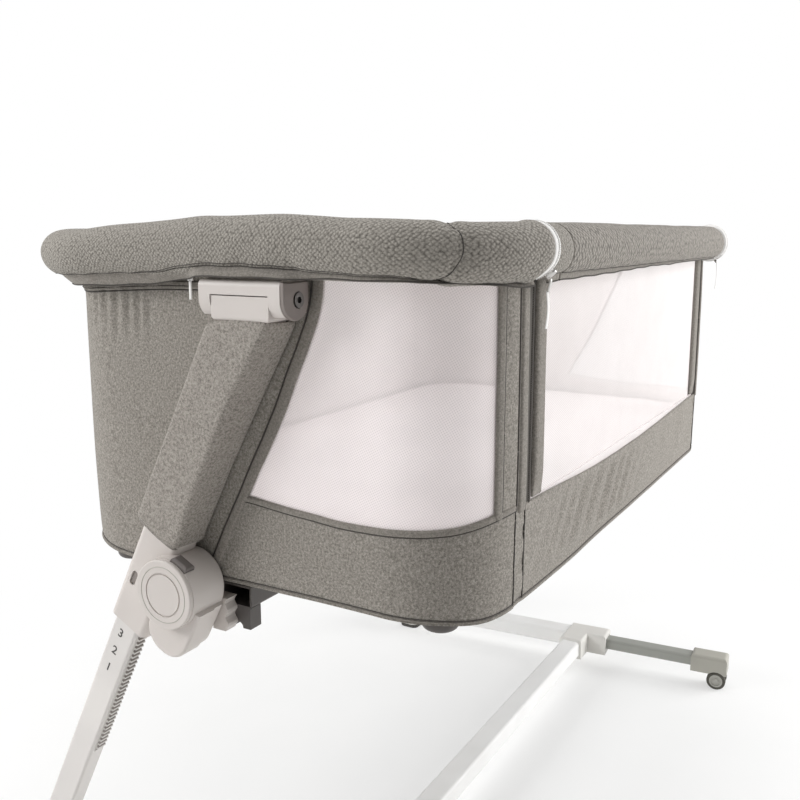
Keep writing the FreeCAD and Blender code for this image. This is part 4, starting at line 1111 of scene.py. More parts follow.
def ride(piece: bpy.types.Object, body: str, slot: str, *stands_for: str) -> bpy.types.Object:
    """Let a piece move with a body and hide the solids that it stands for."""
    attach(piece, body)
    if stands_for:
        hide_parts(*stands_for)
    LOG.info("%s rides on %s, %d faces", piece.name, body, len(piece.data.polygons) if piece.type == "MESH" else 0)
    return piece


@dataclass
class BasketMaker:
    """Builds every cloth piece of the basket and of the folding bed side."""

    basket: Basket = field(default_factory=Basket)
    rim: PaddedRim = field(default_factory=PaddedRim)

    def end_walls(self) -> None:
        """Outer cloth, window net, bindings and seams of both ends."""
        for end in End:
            mirrored = end is End.FAR
            tag = end.name.lower()
            t, z, keep = self.basket.end_grid(mirrored)
            cloth = self.basket.sheet(f"end_cloth_{tag}", t, z, 0.0, MELANGE, keep, mirrored)
            thicken(cloth, CLOTH_THICK)
            ride(cloth, "basket", "melange_fabric", f"end_panel_{tag}")
            self.window(tag, mirrored)
            self.upright_strips(tag, mirrored)
            self.hem_below_rim(tag, mirrored)

    def window(self, tag: str, mirrored: bool) -> None:
        """Net of one end window, its bindings, the slanting strip beside the leg and their seams."""
        b = self.basket
        lap = 3.0  # how far the net reaches under its bindings
        u, v = spread(0.0, 1.0, 60, 46)
        left = b.strip_t(b.sill_z - lap + v * (b.head_z - b.sill_z + lap), -2.0)
        t = b.window_t - lap + u * (left - b.window_t + lap)
        low = b.sill(t) - lap
        net = b.sheet(f"net_{tag}", t, low + v * (b.head_z - low), -1.4, NET, None, mirrored)
        ride(net, "basket", "net_fabric", f"end_window_{tag}")
        rise = np.linspace(b.head_z - 3.0, float(b.sill(np.array(b.window_t))) - 5.0, 60)
        across = np.linspace(343.0, float(b.strip_t(np.array(509.0))) - 2.0, 120)
        sill = stacked(across, b.sill(across))
        height = np.linspace(b.base_z + 3.0, b.head_z - 2.0, 110)
        slant = stacked(b.strip_t(height), height)
        parts = [b.band_on_wall(f"b1_{tag}", stacked(b.window_t - 2.5, rise), 0.0, 9.0, 1.8, mirrored),
                 b.band_on_wall(f"b2_{tag}", sill, -2.9, 5.6, 1.3, mirrored),
                 b.band_on_wall(f"b3_{tag}", slant, 0.0, 9.4, 1.9, mirrored)]
        ride(joined(f"window_binding_{tag}", parts), "basket", "melange_fabric")
        lines = [b.seam_on_wall(f"s1_{tag}", stacked(b.window_t - 7.4, rise), 0.0, 0.6, 0.2, mirrored),
                 b.seam_on_wall(f"s2_{tag}", sill, -6.0, 0.65, 0.1, mirrored),
                 b.seam_on_wall(f"s3_{tag}", slant, -5.6, 0.8, 0.1, mirrored)]
        ride(joined(f"window_stitching_{tag}", lines), "basket", "melange_fabric")

    def upright_strips(self, tag: str, mirrored: bool) -> None:
        """Rolled guard beside the zip of the bed-side corner and the lines of the two seams beside it."""
        b = self.basket
        middle, wide, lines = (349.0, 11.0, (355.6, 343.4)) if mirrored else (330.0, 15.0, (340.5, 321.8))
        rise = np.linspace(b.head_z - 4.0, 505.0, 70)
        guard = b.band_on_wall(f"corner_strips_{tag}", stacked(middle, rise), 0.0, wide, 2.3, mirrored)
        ride(guard, "basket", "melange_fabric")
        full = np.linspace(b.head_z - 4.0, float(b.low(np.array(-340.0 if mirrored else 330.0))) + 1.0, 110)
        seams = []
        for k, place in enumerate(lines):
            # Below the guard the outer seam steps aside to the edge of the corner cloth.
            away = np.where((full < 507.0) & (place > middle), 1.6, 0.0)
            seams.append(b.seam_on_wall(f"c{k}_{tag}", stacked(place + away, full), 0.0, 0.75, 0.2, mirrored))
        ride(joined(f"corner_stitching_{tag}", seams), "basket", "melange_fabric")

    def hem_below_rim(self, tag: str, mirrored: bool) -> None:
        """Raised hem of the wall cloth just below the rim, from beside the hinge bracket round to the back."""
        b = self.basket
        zero = b.plan.end_side(0.0)
        first, top = zero + 24.0, 702.0
        t = np.linspace(first, b.plan.length / 2.0, 190)
        low = table(t - zero, HEM_EDGE, 8.0)
        tt, kk = np.meshgrid(t, np.linspace(0.0, 1.0, 13), indexing="xy")
        rise = arch(2.0 * kk - 1.0, 2.1, 0.5, 6) + 0.25 * np.sin(tt / 8.0)
        rise = rise * smoothstep(first, first + 3.0, tt)
        hem = b.sheet(f"wall_hem_{tag}", tt, low + kk * (top - low), rise, BINDING, None, mirrored)
        ride(hem, "basket", "melange_fabric")
        path = stacked(t, low)
        lines = [b.seam_on_wall(f"h1_{tag}", path, -0.5, 0.7, 0.3, mirrored),
                 b.seam_on_wall(f"h2_{tag}", path, 3.0, 0.4, 2.0, mirrored)]
        ride(joined(f"wall_hem_seam_{tag}", lines), "basket", "melange_fabric")

    def back_and_band(self) -> None:
        """Back wall, the band below the bed side with its strip of net, and the bottom."""
        b = self.basket
        t, k = spread(b.plan.marks[3], b.plan.marks[4], 150, 44)
        low = b.low(t)
        back = b.sheet("back_cloth", t, low + k * (b.head_z - low), 0.0, MELANGE)
        thicken(back, CLOTH_THICK)
        ride(back, "basket", "melange_fabric", "back_panel")
        x, k = spread(-b.near_edge + 0.4, b.far_edge - 0.2, 340, 34)
        low, top = b.low(-x), b.band_top(x)
        z = low + k * (top - low)
        lip = np.where(k > 0.9, 0.9 * np.sin((k - 0.9) / 0.1 * math.pi), 0.0)
        band = b.sheet("front_cloth", -x[:, ::-1], z[:, ::-1], lip[:, ::-1], MELANGE)
        thicken(band, CLOTH_THICK)
        ride(band, "basket", "melange_fabric", "front_band")
        x, k = spread(-b.near_edge + 1.5, b.far_edge - 1.0, 160, 8)
        top, lap = b.band_top(x), 6.0
        z = top - lap + k * (np.maximum(508.0, top) - top + lap)
        strip = b.sheet("front_net", -x[:, ::-1], z[:, ::-1], -2.0, BED_NET)
        ride(strip, "basket", "net_fabric")
        self.bottom()

    def bottom(self) -> None:
        """Bottom cloth: it runs inwards and down from the wall's lower edge, then flat to the middle."""
        b = self.basket
        flat_z, slope_wide = 416.0, 28.0
        t = np.linspace(0.0, b.plan.length, 520, endpoint=False)
        x, y, nx, ny = b.plan.at(t)
        low = b.low(t)
        inset = np.array([0.0, 3.0, 9.0, 18.0, slope_wide, 40.0, 80.0])[:, None]
        out = b.stand(t, low) * (1.0 - smoothstep(0.0, 12.0, inset)) - inset
        drop = (flat_z - low) * np.clip(inset / slope_wide, 0.0, 1.0) ** 0.8
        points = stacked(x + nx * out, y + ny * out, low + drop)
        faces = grid_faces(len(inset), len(t), ring=True)
        faces.append(ring_face((len(inset) - 1) * len(t), len(t)))
        bottom = mesh_object("bottom_cloth", points, faces, MELANGE, points[..., :2])
        thicken(bottom, 2.0)
        ride(bottom, "basket", "melange_fabric", "bottom_panel")
        piping = tube_along("bottom_piping", b.wall(t, low + 0.3, 0.1), 0.9, BINDING, around=8, closed=True)
        seam = tube_along("bottom_seam", b.wall(t, low + 2.2, 0.1), 0.45, SEAM, closed=True)
        ride(piping, "basket", "melange_fabric")
        ride(seam, "basket", "melange_fabric")

    def lining(self) -> None:
        """Pale lining inside the outer cloth, open at the windows and at the bed side."""
        b = self.basket
        inset = -4.6
        parts = []
        for mirrored in (False, True):
            t, z, keep = b.end_grid(mirrored)
            parts.append(b.sheet("lining_end", t, z, inset, LINING, keep, mirrored, inward=True))
        t, k = spread(b.plan.marks[3], b.plan.marks[4], 60, 20)
        parts.append(b.sheet("lining_back", t, b.low(t) + k * (b.head_z - b.low(t)), inset, LINING, inward=True))
        x, k = spread(-b.near_edge, b.far_edge, 80, 10)
        z = b.low(-x) + k * (b.band_top(x) - 1.0 - b.low(-x))
        parts.append(b.sheet("lining_front", -x[:, ::-1], z[:, ::-1], inset, LINING, inward=True))
        lining = thicken(joined("lining_cloth", parts), 0.8)
        ride(lining, "basket", "lining_fabric", "lining")

    def bed_side(self) -> None:
        """Folding bed side: a net with a rolled border at each end, and the stitching between them."""
        b = self.basket
        x0, x1 = b.bed_near_x + 1.5, b.bed_far_x - 1.5
        fold, head, lap, face = 508.6, 710.0, 16.0, -239.0
        u, v = spread(0.0, 1.0, 140, 46)
        x, z = x0 + lap + u * (x1 - x0 - 2.0 * lap), fold + v * (head - fold)
        y = face + 1.0 - 0.9 * np.sin(math.pi * u) * np.sin(math.pi * v)
        net = mesh_object("bed_side_net", stacked(x, y, z), grid_faces(46, 140), BED_NET, stacked(x, z))
        ride(net, "drop_side", "net_fabric", "drop_net")
        bars = []
        s, z = spread(-1.0, 1.0, 13, 60)
        z = 511.0 + z * (head - 511.0)
        for end, low, wide in ((End.NEAR, x0, 21.5), (End.FAR, x1 - 22.0, 22.0)):
            # The border leans a little under the rail, and is thin where it starts at the fold.
            lean = -end.value * 1.5 * smoothstep(660.0, head, z) * (s * 0.5 + 0.5)
            x = low + wide / 2.0 + s * wide / 2.0 + lean
            rise = arch(s, 2.7, 0.5) * (0.15 + 0.85 * smoothstep(509.0, 534.0, z))
            y = face - rise - 0.3 * wander(x * 3.0, z, 0.4)
            bars.append(mesh_object("bar", stacked(x, y, z), grid_faces(60, 13), BINDING, stacked(x, z)))
        ride(thicken(joined("bed_side_border", bars), 1.6), "drop_side", "melange_fabric", "drop_border")
        rise = np.linspace(509.0, head - 2.0, 40)
        seams = [tube_along("bs", stacked(x, face, rise), 0.55, SEAM) for x in (x0 + 21.6, x1 - 22.1)]
        ride(joined("bed_side_stitching", seams), "drop_side", "melange_fabric")

    def rim_covers(self) -> None:
        """Padded covers, their piping lines and the narrow skirt below them."""
        r = self.rim
        length = r.plan.length
        bed_near, bed_far = -r.bed_near_x, -r.bed_far_x
        cover = r.skin("rim_padding", bed_near + 0.6, length + bed_far - 0.6)
        ride(cover, "basket", "rim_knit", "rim_cover_near", "rim_cover_back", "rim_cover_far")
        rail = r.skin("rail_padding", bed_far + 0.6, bed_near - 0.6, RAIL_KNIT)
        ride(rail, "drop_side", "rim_knit", "drop_rail_cover")
        lines = [tube_along("rs", r.ring_at(seam, 0.05), 0.6, SEAM) for seam in r.seams()]
        t0, t1 = bed_near + 3.0, length + bed_far - 3.0
        for first, last in ((t0, 330.0), (353.0, t1 - 14.0)):
            lines.append(tube_along("rl1", r.line_along(0.0, first, last, -0.1), 0.7, SEAM))
        for first, last in ((440.0, r.plan.marks[3]), (length - r.plan.marks[3], length - 440.0)):
            lines.append(tube_along("rl2", r.line_along(0.13, first, last, 0.0), 0.4, SEAM))
        ride(joined("rim_stitching", lines), "basket", "rim_knit")
        rail_line = tube_along("rail_stitching", r.line_along(0.0, bed_far + 3.0, bed_near - 3.0, -0.1), 0.75, SEAM)
        ride(rail_line, "drop_side", "rim_knit")
        self.skirt("rim_skirt", [(t0 - 2.0, 331.0), (354.0, length - 349.0)], "basket")
        self.skirt("rail_skirt", [(bed_far + 1.0, bed_near - 1.0)], "drop_side")

    def skirt(self, name: str, spans: list[tuple[float, float]], body: str) -> None:
        """Narrow strip from the padding's fold down over the wall and the hinge bracket, with a stitched lower edge.

        Each cross section is a curve through three points: the fold, a middle pushed outwards and the lower edge.

        Args:
            name: Name of the piece.
            spans: Lengths between which it runs.
            body: Body that it moves with.
        """
        r = self.rim
        strips, seams = [], []
        for t0, t1 in spans:
            t = np.linspace(t0, t1, int((t1 - t0) / 3.0))
            past = r.past_end(t)
            x, y, nx, ny = r.plan.at(t)
            low_z = table(past, SKIRT_EDGE, 4.0) + 0.35 * np.sin(t / 9.0)
            far_bed = (np.abs(ny) > 0.99) & (y < 0.0) & (x > 0.0)
            low_z = np.where(far_bed, np.maximum(low_z, 705.5 + 3.5 * smoothstep(0.0, 120.0, x)), low_z)
            out = table(past, SKIRT_REACH, 3.0)
            away = stacked(nx, ny, 0.0)
            top = r.surface(t, r.fold_angle(t) - 0.03, -0.7)
            low = stacked(x + nx * out, y + ny * out, low_z)
            mid = (top + low) / 2.0 + away * 1.1
            k = np.linspace(0.0, 1.0, 9)[None, :, None]
            grid = (1.0 - k) ** 2 * top[:, None, :] + 2.0 * k * (1.0 - k) * mid[:, None, :] + k ** 2 * low[:, None, :]
            run = stacked(t[:, None], k[:, :, 0] * 16.0)
            strips.append(mesh_object(name, grid, grid_faces(len(t), 9), BINDING, run))
            seams.append(tube_along(name + "_seam", low + away * 0.1, 0.7, SEAM))
        ride(thicken(joined(name, strips), 0.8), body, "melange_fabric")
        ride(joined(name + "_seam", seams), body, "melange_fabric")

    def mattress(self) -> None:
        """Foam mattress in a jersey sheet: crowned top, drawn-in sides and soft creases.

        Each ring is the plan drawn inwards; the height rises to the crown with the distance from the edge.
        """
        plan, low, seam_rise, seam_inset = Plan(413.0, 228.0, 76.0), 430.4, 48.5, 3.2
        t = np.linspace(0.0, plan.length, 360, endpoint=False)
        rings = np.array([(9.0, 0.0), (3.0, 1.6), (1.2, 6.0), (0.6, 12.0), (2.4, 20.0), (3.2, 28.0), (1.4, 37.0),
                          (1.2, 43.0), (3.6, seam_rise), (8.0, 50.6), (14.0, 52.0), (22.0, 53.0), (34.0, 53.9),
                          (50.0, 54.5), (75.0, 55.0)])
        inset, rise = rings[:, :1], rings[:, 1:]
        x, y, nx, ny = plan.at(t)
        px, py = x - nx * inset, y - ny * inset
        crease = 0.7 * wander(t * 1.7, inset * 6.0, 0.9) + 0.5 * np.sin(t / 8.0) * hump(inset, 8.0, 7.0)
        top = (rise > 44.0) & (rise < 54.8)
        # One long pulled crease from the near back corner, along a line that runs 130 by -23 across the sheet.
        along = ((px + 372.0) * 130.0 - (py + 145.0) * 23.0) / 132.0
        beside = ((px + 372.0) * 23.0 + (py + 145.0) * 130.0) / 132.0
        pull = hump(beside, 0.0, 4.5) * between(along, (-10.0, 20.0), (110.0, 150.0))
        points = stacked(px, py, low + rise + np.where(top, crease, 0.0) - 1.6 * pull * (rise > 50.0))
        faces = grid_faces(len(inset), len(t), ring=True, flip=True)
        faces += [ring_face((len(inset) - 1) * len(t), len(t), turned=True), ring_face(0, len(t))]
        pad = mesh_object("mattress_pad", points, faces, SHEET, points[..., :2])
        outward(pad)
        ride(pad, "basket", "sheet_fabric", "mattress")
        edge = stacked(x - nx * seam_inset, y - ny * seam_inset, low + seam_rise + 0.5 * np.sin(t / 8.0))
        piping = tube_along("mattress_piping", edge, 1.4, LINING, around=8, closed=True)
        ride(piping, "basket", "sheet_fabric")

    def zips(self) -> None:
        """White zip bands round the rim at both ends of the bed side, upright zips, sliders and ribbon pulls."""
        r = self.rim
        length = r.plan.length
        parts, waves = [], 90.0
        for t0, t1, high in ((334.0, 346.0, 1.4), (length - 348.0, length - 337.0, 3.0)):
            parts.append(r.wrap("zr", t0, t1, high, ZIP_WHITE))
            turn = np.linspace(-math.pi, math.pi, 720, endpoint=False)
            middle = (t0 + t1) / 2.0 + 1.1 * np.sin(turn * waves)
            middle = middle + r.zip_lean(middle, turn)
            coil = r.surface(middle, turn, high + 0.35 + 0.4 * np.cos(turn * waves))
            parts.append(tube_along("zc", coil, 0.42, ZIP_WHITE, around=5, closed=True))
        near_x, far_x = -340.0, 342.0
        parts.append(self.ribbon(near_x, -263.0, 698.0, 667.0, 2.6))
        parts.append(self.ribbon(far_x, -262.0, 705.0, 665.0, 2.4))
        under, front, side = (0.0, -0.64, -0.77), (0.0, -0.98, -0.2), (-1.0, 0.0, 0.0)
        metal = [self.slider(np.array(middle), facing, half) for middle, facing, half in (
            ((near_x, -265.6, 712.0), under, (4.0, 2.4, 5.4)),
            ((near_x, -265.2, 702.5), front, (1.9, 0.9, 5.8)),
            ((far_x, -265.4, 711.5), under, (3.6, 2.2, 5.0)),
            ((-441.5, 29.5, 705.5), side, (3.6, 1.8, 2.6)),
        )]
        tab = stacked(-442.6, 29.2, np.linspace(704.0, 687.0, 12))
        parts.append(tube_along("tab", tab, 1.7, ZIP_WHITE, around=8, flat=0.4, normal=ALONG_X))
        ride(joined("zip_bands", parts), "basket", "zip_tape", "zips")
        ride(joined("zip_sliders", metal), "basket", "bolt_steel")
        self.upright_zips()

    def ribbon(self, x: float, y: float, top: float, low: float, half: float) -> bpy.types.Object:
        """Ribbon pull: a flat strip that hangs from the slider with a slight curl."""
        drop = np.linspace(0.0, 1.0, 30)
        line = stacked(x + 0.8 * np.sin(drop * 4.0), y - 1.0 * np.sin(drop * 3.0), top + (low - top) * drop)
        return tube_along("ribbon", line, half, ZIP_WHITE, around=8, flat=0.2, normal=ALONG_Y)

    def slider(self, middle: Array, facing: tuple[float, float, float],
               half: tuple[float, float, float]) -> bpy.types.Object:
        """Cast slider or puller: a squared-off ellipsoid that lies on the surface it faces away from.

        Args:
            middle: Its middle.
            facing: Outward direction of its face.
            half: Half its width, thickness and length.
        Returns:
            The piece.
        """
        u, v = np.meshgrid(np.linspace(-math.pi / 2, math.pi / 2, 15),
                           np.linspace(-math.pi, math.pi, 24, endpoint=False), indexing="ij")

        def bent(value: Array) -> Array:
            """Raise to a power below one and keep the sign, which squares the ellipsoid off."""
            return (np.sign(value) * np.abs(value) ** 0.6)[..., None]

        face = np.array(facing) / np.linalg.norm(facing)
        up = ALONG_Z - face * face[2]
        up = up / np.linalg.norm(up)
        side = np.cross(up, face)
        points = (middle + half[0] * bent(np.cos(u)) * bent(np.cos(v)) * side
                  + half[1] * bent(np.cos(u)) * bent(np.sin(v)) * face + half[2] * bent(np.sin(u)) * up)
        made = mesh_object("slider", points, grid_faces(15, 24, ring=True), ZIP_METAL)
        outward(made, merge=True)
        return made

    def upright_zips(self) -> None:
        """Grey zips that join the bed side to the end walls: tape in the gap and its row of coils."""
        parts, face, turns = [], -238.9, 3.1
        for middle, half, teeth in ((-312.4, 8.4, -311.0), (338.7, 4.6, 338.4)):
            tape = stacked(middle, face, np.linspace(506.0, 706.0, 60))
            parts.append(tube_along("zt", tape, half, ZIP_DARK, around=8, flat=0.08, normal=ALONG_Y))
            z = np.linspace(508.0, 704.0, 900)
            coil = stacked(teeth + 1.2 * np.sin(z * turns), face - 1.3 - 0.5 * np.cos(z * turns), z)
            parts.append(tube_along("zk", coil, 0.45, ZIP_DARK, around=5, normal=ALONG_Y))
        ride(joined("upright_zips", parts), "basket", "zip_tape")


# ------------------------------------------------------------------ legs
# Height of the sleeve's lower edge at places across the crib.
SLEEVE_HEM: Marks = (
    (-40, 520), (-10, 492), (0, 480), (6, 472.5), (10, 467.5), (18, 462), (27, 459), (35, 458.6), (43, 459.8),
    (52.6, 464), (66.7, 471.5), (85, 483), (100, 494), (130, 520),
)


@dataclass
class LegDress:
    """Padded sleeve, printed level numbers and hub trim of the legs.

    In leg coordinates n is measured across the leg and s up it; the leg leans by LEAN from upright. Sizes: leg_x the
    leg's middle, deep the tube's depth, top_z the height of the sleeve's upper edge, high_n its high side, hub_n and
    hub_s the middle of the hub, hub_face the distance of the hub cover's groove from the crib's middle.
    """

    leg_x: float = 446.0
    deep: float = 36.0
    top_z: float = 672.0
    high_n: float = 297.6
    hub_n: float = 232.0
    hub_s: float = 352.5
    hub_face: float = 474.95

    def world(self, x: Array | float, n: Array | float, s: Array | float) -> Array:
        """Leg coordinates to crib coordinates: a turn by the lean about X."""
        c, k = math.cos(LEAN), math.sin(LEAN)
        return stacked(x, n * c - s * k, s * c + n * k)

    def low_n(self, s: Array, front: Array) -> Array:
        """Low side of the sleeve at each s; it slants between the leg's front (1) and its back (0)."""
        back = np.interp(s, [380.0, 480.0, 560.0, 635.0], [241.3, 241.3, 237.5, 233.6])
        crease = np.interp(s, [380.0, 410.0, 432.0, 560.0, 588.0, 640.0], [243.4, 244.0, 246.6, 246.6, 242.0, 238.0])
        return back + (crease - back) * front

    def hem(self, y: Array) -> Array:
        """Height of the sleeve's lower edge at each y: a rounded tongue, low on the bed side."""
        return table(y, SLEEVE_HEM, 3.0)

    def sleeve(self, end: End) -> None:
        """Sleeve: a rounded box section carried up the leg between the hem line and the level top.

        The section is cos and sin raised to a low power, which squares the circle off. Where it meets the hem is
        found by halving for each point of the section.
        """
        around, rows, power = 120, 110, 0.2
        half = self.deep / 2.0 + 1.0
        angle = np.linspace(0.0, 2.0 * math.pi, around, endpoint=False)
        cx = np.sign(np.cos(angle)) * np.abs(np.cos(angle)) ** power
        cn = np.sign(np.sin(angle)) * np.abs(np.sin(angle)) ** power
        c, k = math.cos(LEAN), math.sin(LEAN)

        def across(s: Array) -> Array:
            """Place across the leg of each point of the section."""
            low = self.low_n(s, (1.0 - cx) / 2.0)
            return (low + self.high_n) / 2.0 + cn * (self.high_n - low) / 2.0

        low, high = np.full(around, 300.0), np.full(around, 720.0)
        for _ in range(40):
            mid = (low + high) / 2.0
            n = across(mid)
            below = mid * c + n * k < self.hem(n * c - mid * k)
            low, high = np.where(below, mid, low), np.where(below, high, mid)
        s_low = (low + high) / 2.0
        n = across(np.full(around, 640.0))
        bow = 2.5 * (1.0 - ((n - 266.0) / 29.0) ** 2)
        s_top = (self.top_z - 1.0 + bow + 0.35 * np.sin(angle * 17.0) - n * k) / c
        v = np.linspace(0.0, 1.0, rows)[:, None]
        s = s_low + v * (s_top - s_low)
        n = across(s)
        # Uneven foam, and cloth drawn in at both edges.
        grow = 0.5 * wander(n * 1.4, s, 0.5) * smoothstep(0.0, 0.06, v) + 0.3 * np.sin(math.pi * v)
        grow = grow - 2.6 * hump(s, s_low, 1.8) + 0.6 * hump(s, s_low + 4.0, 2.6) - 1.2 * hump(s, s_top, 2.2)
        x = cx * (half + np.where(cx < 0.0, grow, np.minimum(grow, 0.3)))
        rings = [self.world(-self.leg_x + x, n + cn * grow, s)]
        # Rings turned in under the lower and over the upper edge: how deep and how far along the leg.
        for depth, shift in ((1.5, -1.6), (3.2, -0.4), (4.0, 6.0)):
            turned = self.world(-self.leg_x + cx * (half - depth), across(s_low + shift) - cn * depth, s_low + shift)
            rings.insert(0, turned[None])
        for depth, shift in ((1.8, 0.3), (4.0, -0.5)):
            turned = self.world(-self.leg_x + cx * (half - depth), across(s_top + shift) - cn * depth, s_top + shift)
            rings.append(turned[None])
        grid = np.concatenate(rings)
        if end is End.FAR:
            grid = grid * MIRROR_X
        run = stacked(angle[None, :] * 28.0, np.arange(len(grid))[:, None] * 2.4)
        faces = grid_faces(len(grid), around, ring=True, flip=end is End.NEAR)
        tag = end.name.lower()
        made = mesh_object(f"sleeve_cloth_{tag}", grid, faces, SLEEVE_CLOTH, run)
        ride(made, "basket", "sleeve_fabric", f"leg_sleeve_{tag}")

    def numbers(self) -> None:
        """Level numbers 1 to 3 printed on the front face of the near inner leg, 22.5 mm apart."""
        text_size, bold, ink_thick, middle_n = 13.5, 0.18, 0.05, 273.5
        parts = []
        for text, s in (("3", 261.5), ("2", 239.0), ("1", 216.5)):
            curve = bpy.data.curves.new("level_" + text, "FONT")
            curve.body = text
            curve.size, curve.offset, curve.extrude = text_size * MM, bold * MM, ink_thick * MM
            curve.align_x = curve.align_y = "CENTER"
            made = placed("level_" + text, curve)
            bpy.context.view_layer.update()
            mesh = bpy.data.meshes.new_from_object(made)
            bpy.data.objects.remove(made)
            flat = np.zeros(len(mesh.vertices) * 3)
            mesh.vertices.foreach_get("co", flat)
            across, up, out = (flat.reshape(-1, 3) / MM).T
            points = self.world(-self.leg_x - 10.06 - out, middle_n - across, s + up)
            mesh.vertices.foreach_set("co", (points * MM).astype(np.float32).ravel())
            mesh.update()
            mesh.materials.clear()
            mesh.materials.append(INK.make())
            parts.append(placed("digit_" + text, mesh))
        ride(joined("level_numbers", parts), "base", "leg_paint")

    def hub_trim(self) -> None:
        """Fine moulded line inside the cover's groove, and a grey plate in the sight slot as painted shadow, on both
        hubs.
        """
        groove, slot_x, slot_n = 26.6, -459.9, 278.0
        lines, slots = [], []
        angle = np.linspace(0.0, 2.0 * math.pi, 96, endpoint=False)
        ring = self.world(-self.hub_face, self.hub_n + groove * np.cos(angle), self.hub_s + groove * np.sin(angle))
        slot = self.world(slot_x, slot_n, np.linspace(325.5, 338.5, 20))
        for turn in (np.ones(3), MIRROR_X):
            lines.append(tube_along("hubline", ring * turn, 0.42, CAP_PLASTIC, closed=True, normal=ALONG_X))
            # Painted shadow: a grey plate in the sight slot stands for the shade of its depth.
            slots.append(tube_along("sight", slot * turn, 2.9, MID_PLASTIC, around=12, flat=0.12, normal=ALONG_X))
        ride(joined("hub_cover_lines", lines), "basket", "light_plastic")
        ride(joined("sight_slot_painted_shadow", slots), "basket", "dark_plastic")


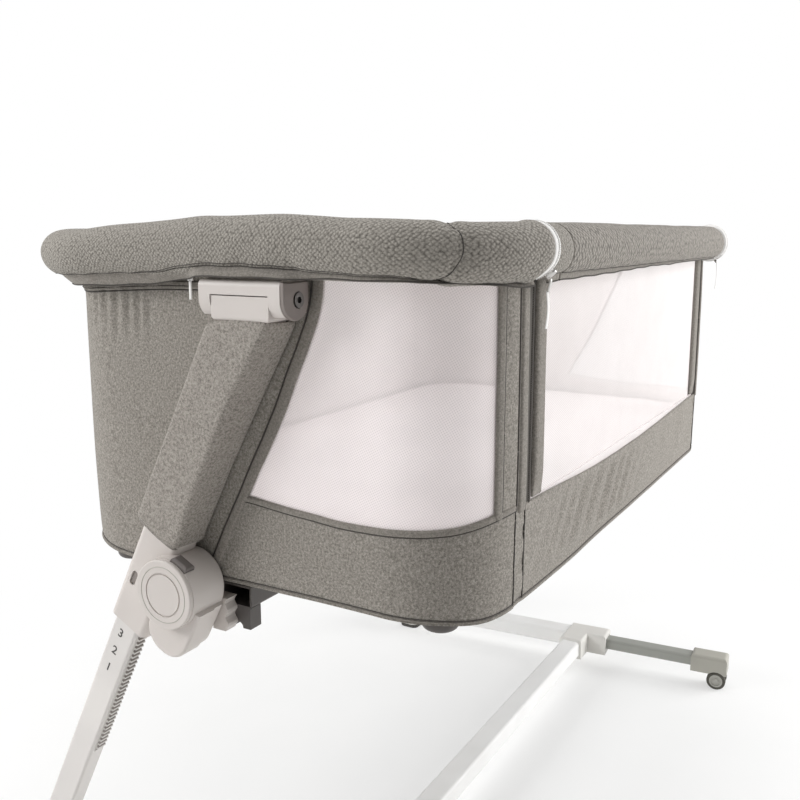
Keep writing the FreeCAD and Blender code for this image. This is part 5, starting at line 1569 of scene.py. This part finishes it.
# ------------------------------------------------------------------ setting
@dataclass
class Studio:
    """Pale floor, soft lamps and the camera at the photograph's viewing angle.

    Sizes: the camera's focal length and picture width in pixels, its place in metres and its turns in radians, and
    the floor's reach in metres.
    """

    focal_px: float = 916.35
    width_px: float = 800.0
    place: tuple[float, float, float] = (-1.0526, -0.5341, 0.7444)
    yaw: float = 0.522
    pitch: float = 0.18
    reach: float = 14.0

    def camera(self) -> None:
        """Camera with the lens worked out from the focal length in pixels."""
        data = bpy.data.cameras.new("view")
        data.sensor_width = 36.0
        data.lens = self.focal_px / self.width_px * data.sensor_width
        data.clip_start, data.clip_end = 0.02, 60.0
        made = placed("view", data)
        made.location = self.place
        level = math.cos(self.pitch)
        ahead = Vector((math.cos(self.yaw) * level, math.sin(self.yaw) * level, -math.sin(self.pitch)))
        made.rotation_mode = "QUATERNION"
        made.rotation_quaternion = ahead.to_track_quat("-Z", "Y")
        bpy.context.scene.camera = made

    def floor(self) -> None:
        """Round pale floor that keeps the object's shadow and fades to the white background."""
        angle = np.linspace(0.0, 2.0 * math.pi, 128, endpoint=False)
        radius = self.reach * np.array([0.002, 0.1, 0.4, 1.0])[:, None]
        grid = stacked(radius * np.cos(angle), radius * np.sin(angle), -0.0002)
        faces = grid_faces(4, 128, ring=True)
        faces.append(ring_face(0, 128))
        material = bpy.data.materials.new("studio_floor_matt_paint")
        material.use_nodes = True
        tree = material.node_tree
        tree.nodes.clear()
        place = add(tree, "TexCoord").outputs["Object"]
        grain = add(tree, "TexNoise", {"Vector": place}, {"Scale": 6.0, "Detail": 2.0})
        colour = ramp(tree, grain.outputs["Fac"], [(0.3, "#F7F7F6"), (0.7, "#FBFBFA")])
        matt = add(tree, "BsdfDiffuse", {"Color": colour})
        glow = add(tree, "Emission", None, {"Color": (1.0, 1.0, 1.0, 1.0), "Strength": 1.0})
        away = add(tree, "VectorMath", {0: place}, operation="LENGTH")
        fade = add(tree, "MapRange", {"Value": away.outputs["Value"]},
                   {"From Min": 0.35, "From Max": 1.1, "To Min": 0.45, "To Max": 1.0},
                   interpolation_type="SMOOTHSTEP")
        lit = add(tree, "MixShader", {0: fade.outputs["Result"], 1: matt.outputs[0], 2: glow.outputs[0]})
        path = add(tree, "LightPath")
        seen = add(tree, "Math", {0: path.outputs["Is Camera Ray"], 1: path.outputs["Is Glossy Ray"]},
                   operation="MAXIMUM")
        pick = add(tree, "MixShader", {0: seen.outputs[0], 1: matt.outputs[0], 2: lit.outputs[0]})
        add(tree, "OutputMaterial", {"Surface": pick.outputs[0]})
        mesh = bpy.data.meshes.new("studio_floor")
        mesh.from_pydata(grid.reshape(-1, 3).tolist(), [], faces)
        mesh.materials.append(material)
        made = placed("studio_floor", mesh)
        outward(made)

    def light(self) -> None:
        """Even white surround, a large lamp at each side of the crib and one above it."""
        world = bpy.data.worlds.new("studio_surround")
        bpy.context.scene.world = world
        world.use_nodes = True
        tree = world.node_tree
        tree.nodes.clear()
        path = add(tree, "LightPath")
        lit = add(tree, "Background", None, {"Color": (1.0, 1.0, 1.0, 1.0), "Strength": 0.3})
        white = add(tree, "Background", None, {"Color": (1.0, 1.0, 1.0, 1.0), "Strength": 1.0})
        seen = add(tree, "Math", {0: path.outputs["Is Camera Ray"], 1: path.outputs["Is Transmission Ray"]},
                   operation="MAXIMUM")
        pick = add(tree, "MixShader", {0: seen.outputs[0], 1: lit.outputs[0], 2: white.outputs[0]})
        add(tree, "OutputWorld", {"Surface": pick.outputs[0]})
        aim = Vector((0.0, 0.0, 0.5))
        for name, place, watts, size in (("key", (-1.7, 1.7, 1.5), 41.0, 1.2), ("fill", (1.5, -2.0, 1.2), 55.0, 1.6),
                                         ("top", (0.0, 0.0, 2.8), 33.0, 2.2)):
            lamp = bpy.data.lights.new(name, "AREA")
            lamp.energy, lamp.size = watts, size
            made = placed(name, lamp)
            made.location = place
            made.rotation_mode = "QUATERNION"
            made.rotation_quaternion = (aim - Vector(place)).to_track_quat("-Z", "Y")


def dress_nodes() -> None:
    """Give every carried-over solid the finish of its material slot."""
    slots = {row["node"]: row["material_slot"] for row in frame["record"]["subparts"]}
    for name, node in frame["nodes"].items():
        finish = NODE_FINISH.get(name) or SLOT_FINISH[slots[name]]
        node.data.materials.clear()
        node.data.materials.append(finish.make())
        LOG.info("%s takes %s", name, finish.name)


def main() -> None:
    """Build every piece in order and report it."""
    logging.basicConfig(level=logging.INFO, format="%(name)s: %(message)s")
    bpy.context.scene.view_settings.view_transform = "Standard"
    dress_nodes()
    maker = BasketMaker()
    maker.rim_covers()
    maker.end_walls()
    maker.back_and_band()
    maker.lining()
    maker.bed_side()
    maker.mattress()
    maker.zips()
    leg = LegDress()
    for end in End:
        leg.sleeve(end)
    leg.numbers()
    leg.hub_trim()
    studio = Studio()
    studio.floor()
    studio.light()
    studio.camera()


if __name__ == "__main__":
    main()
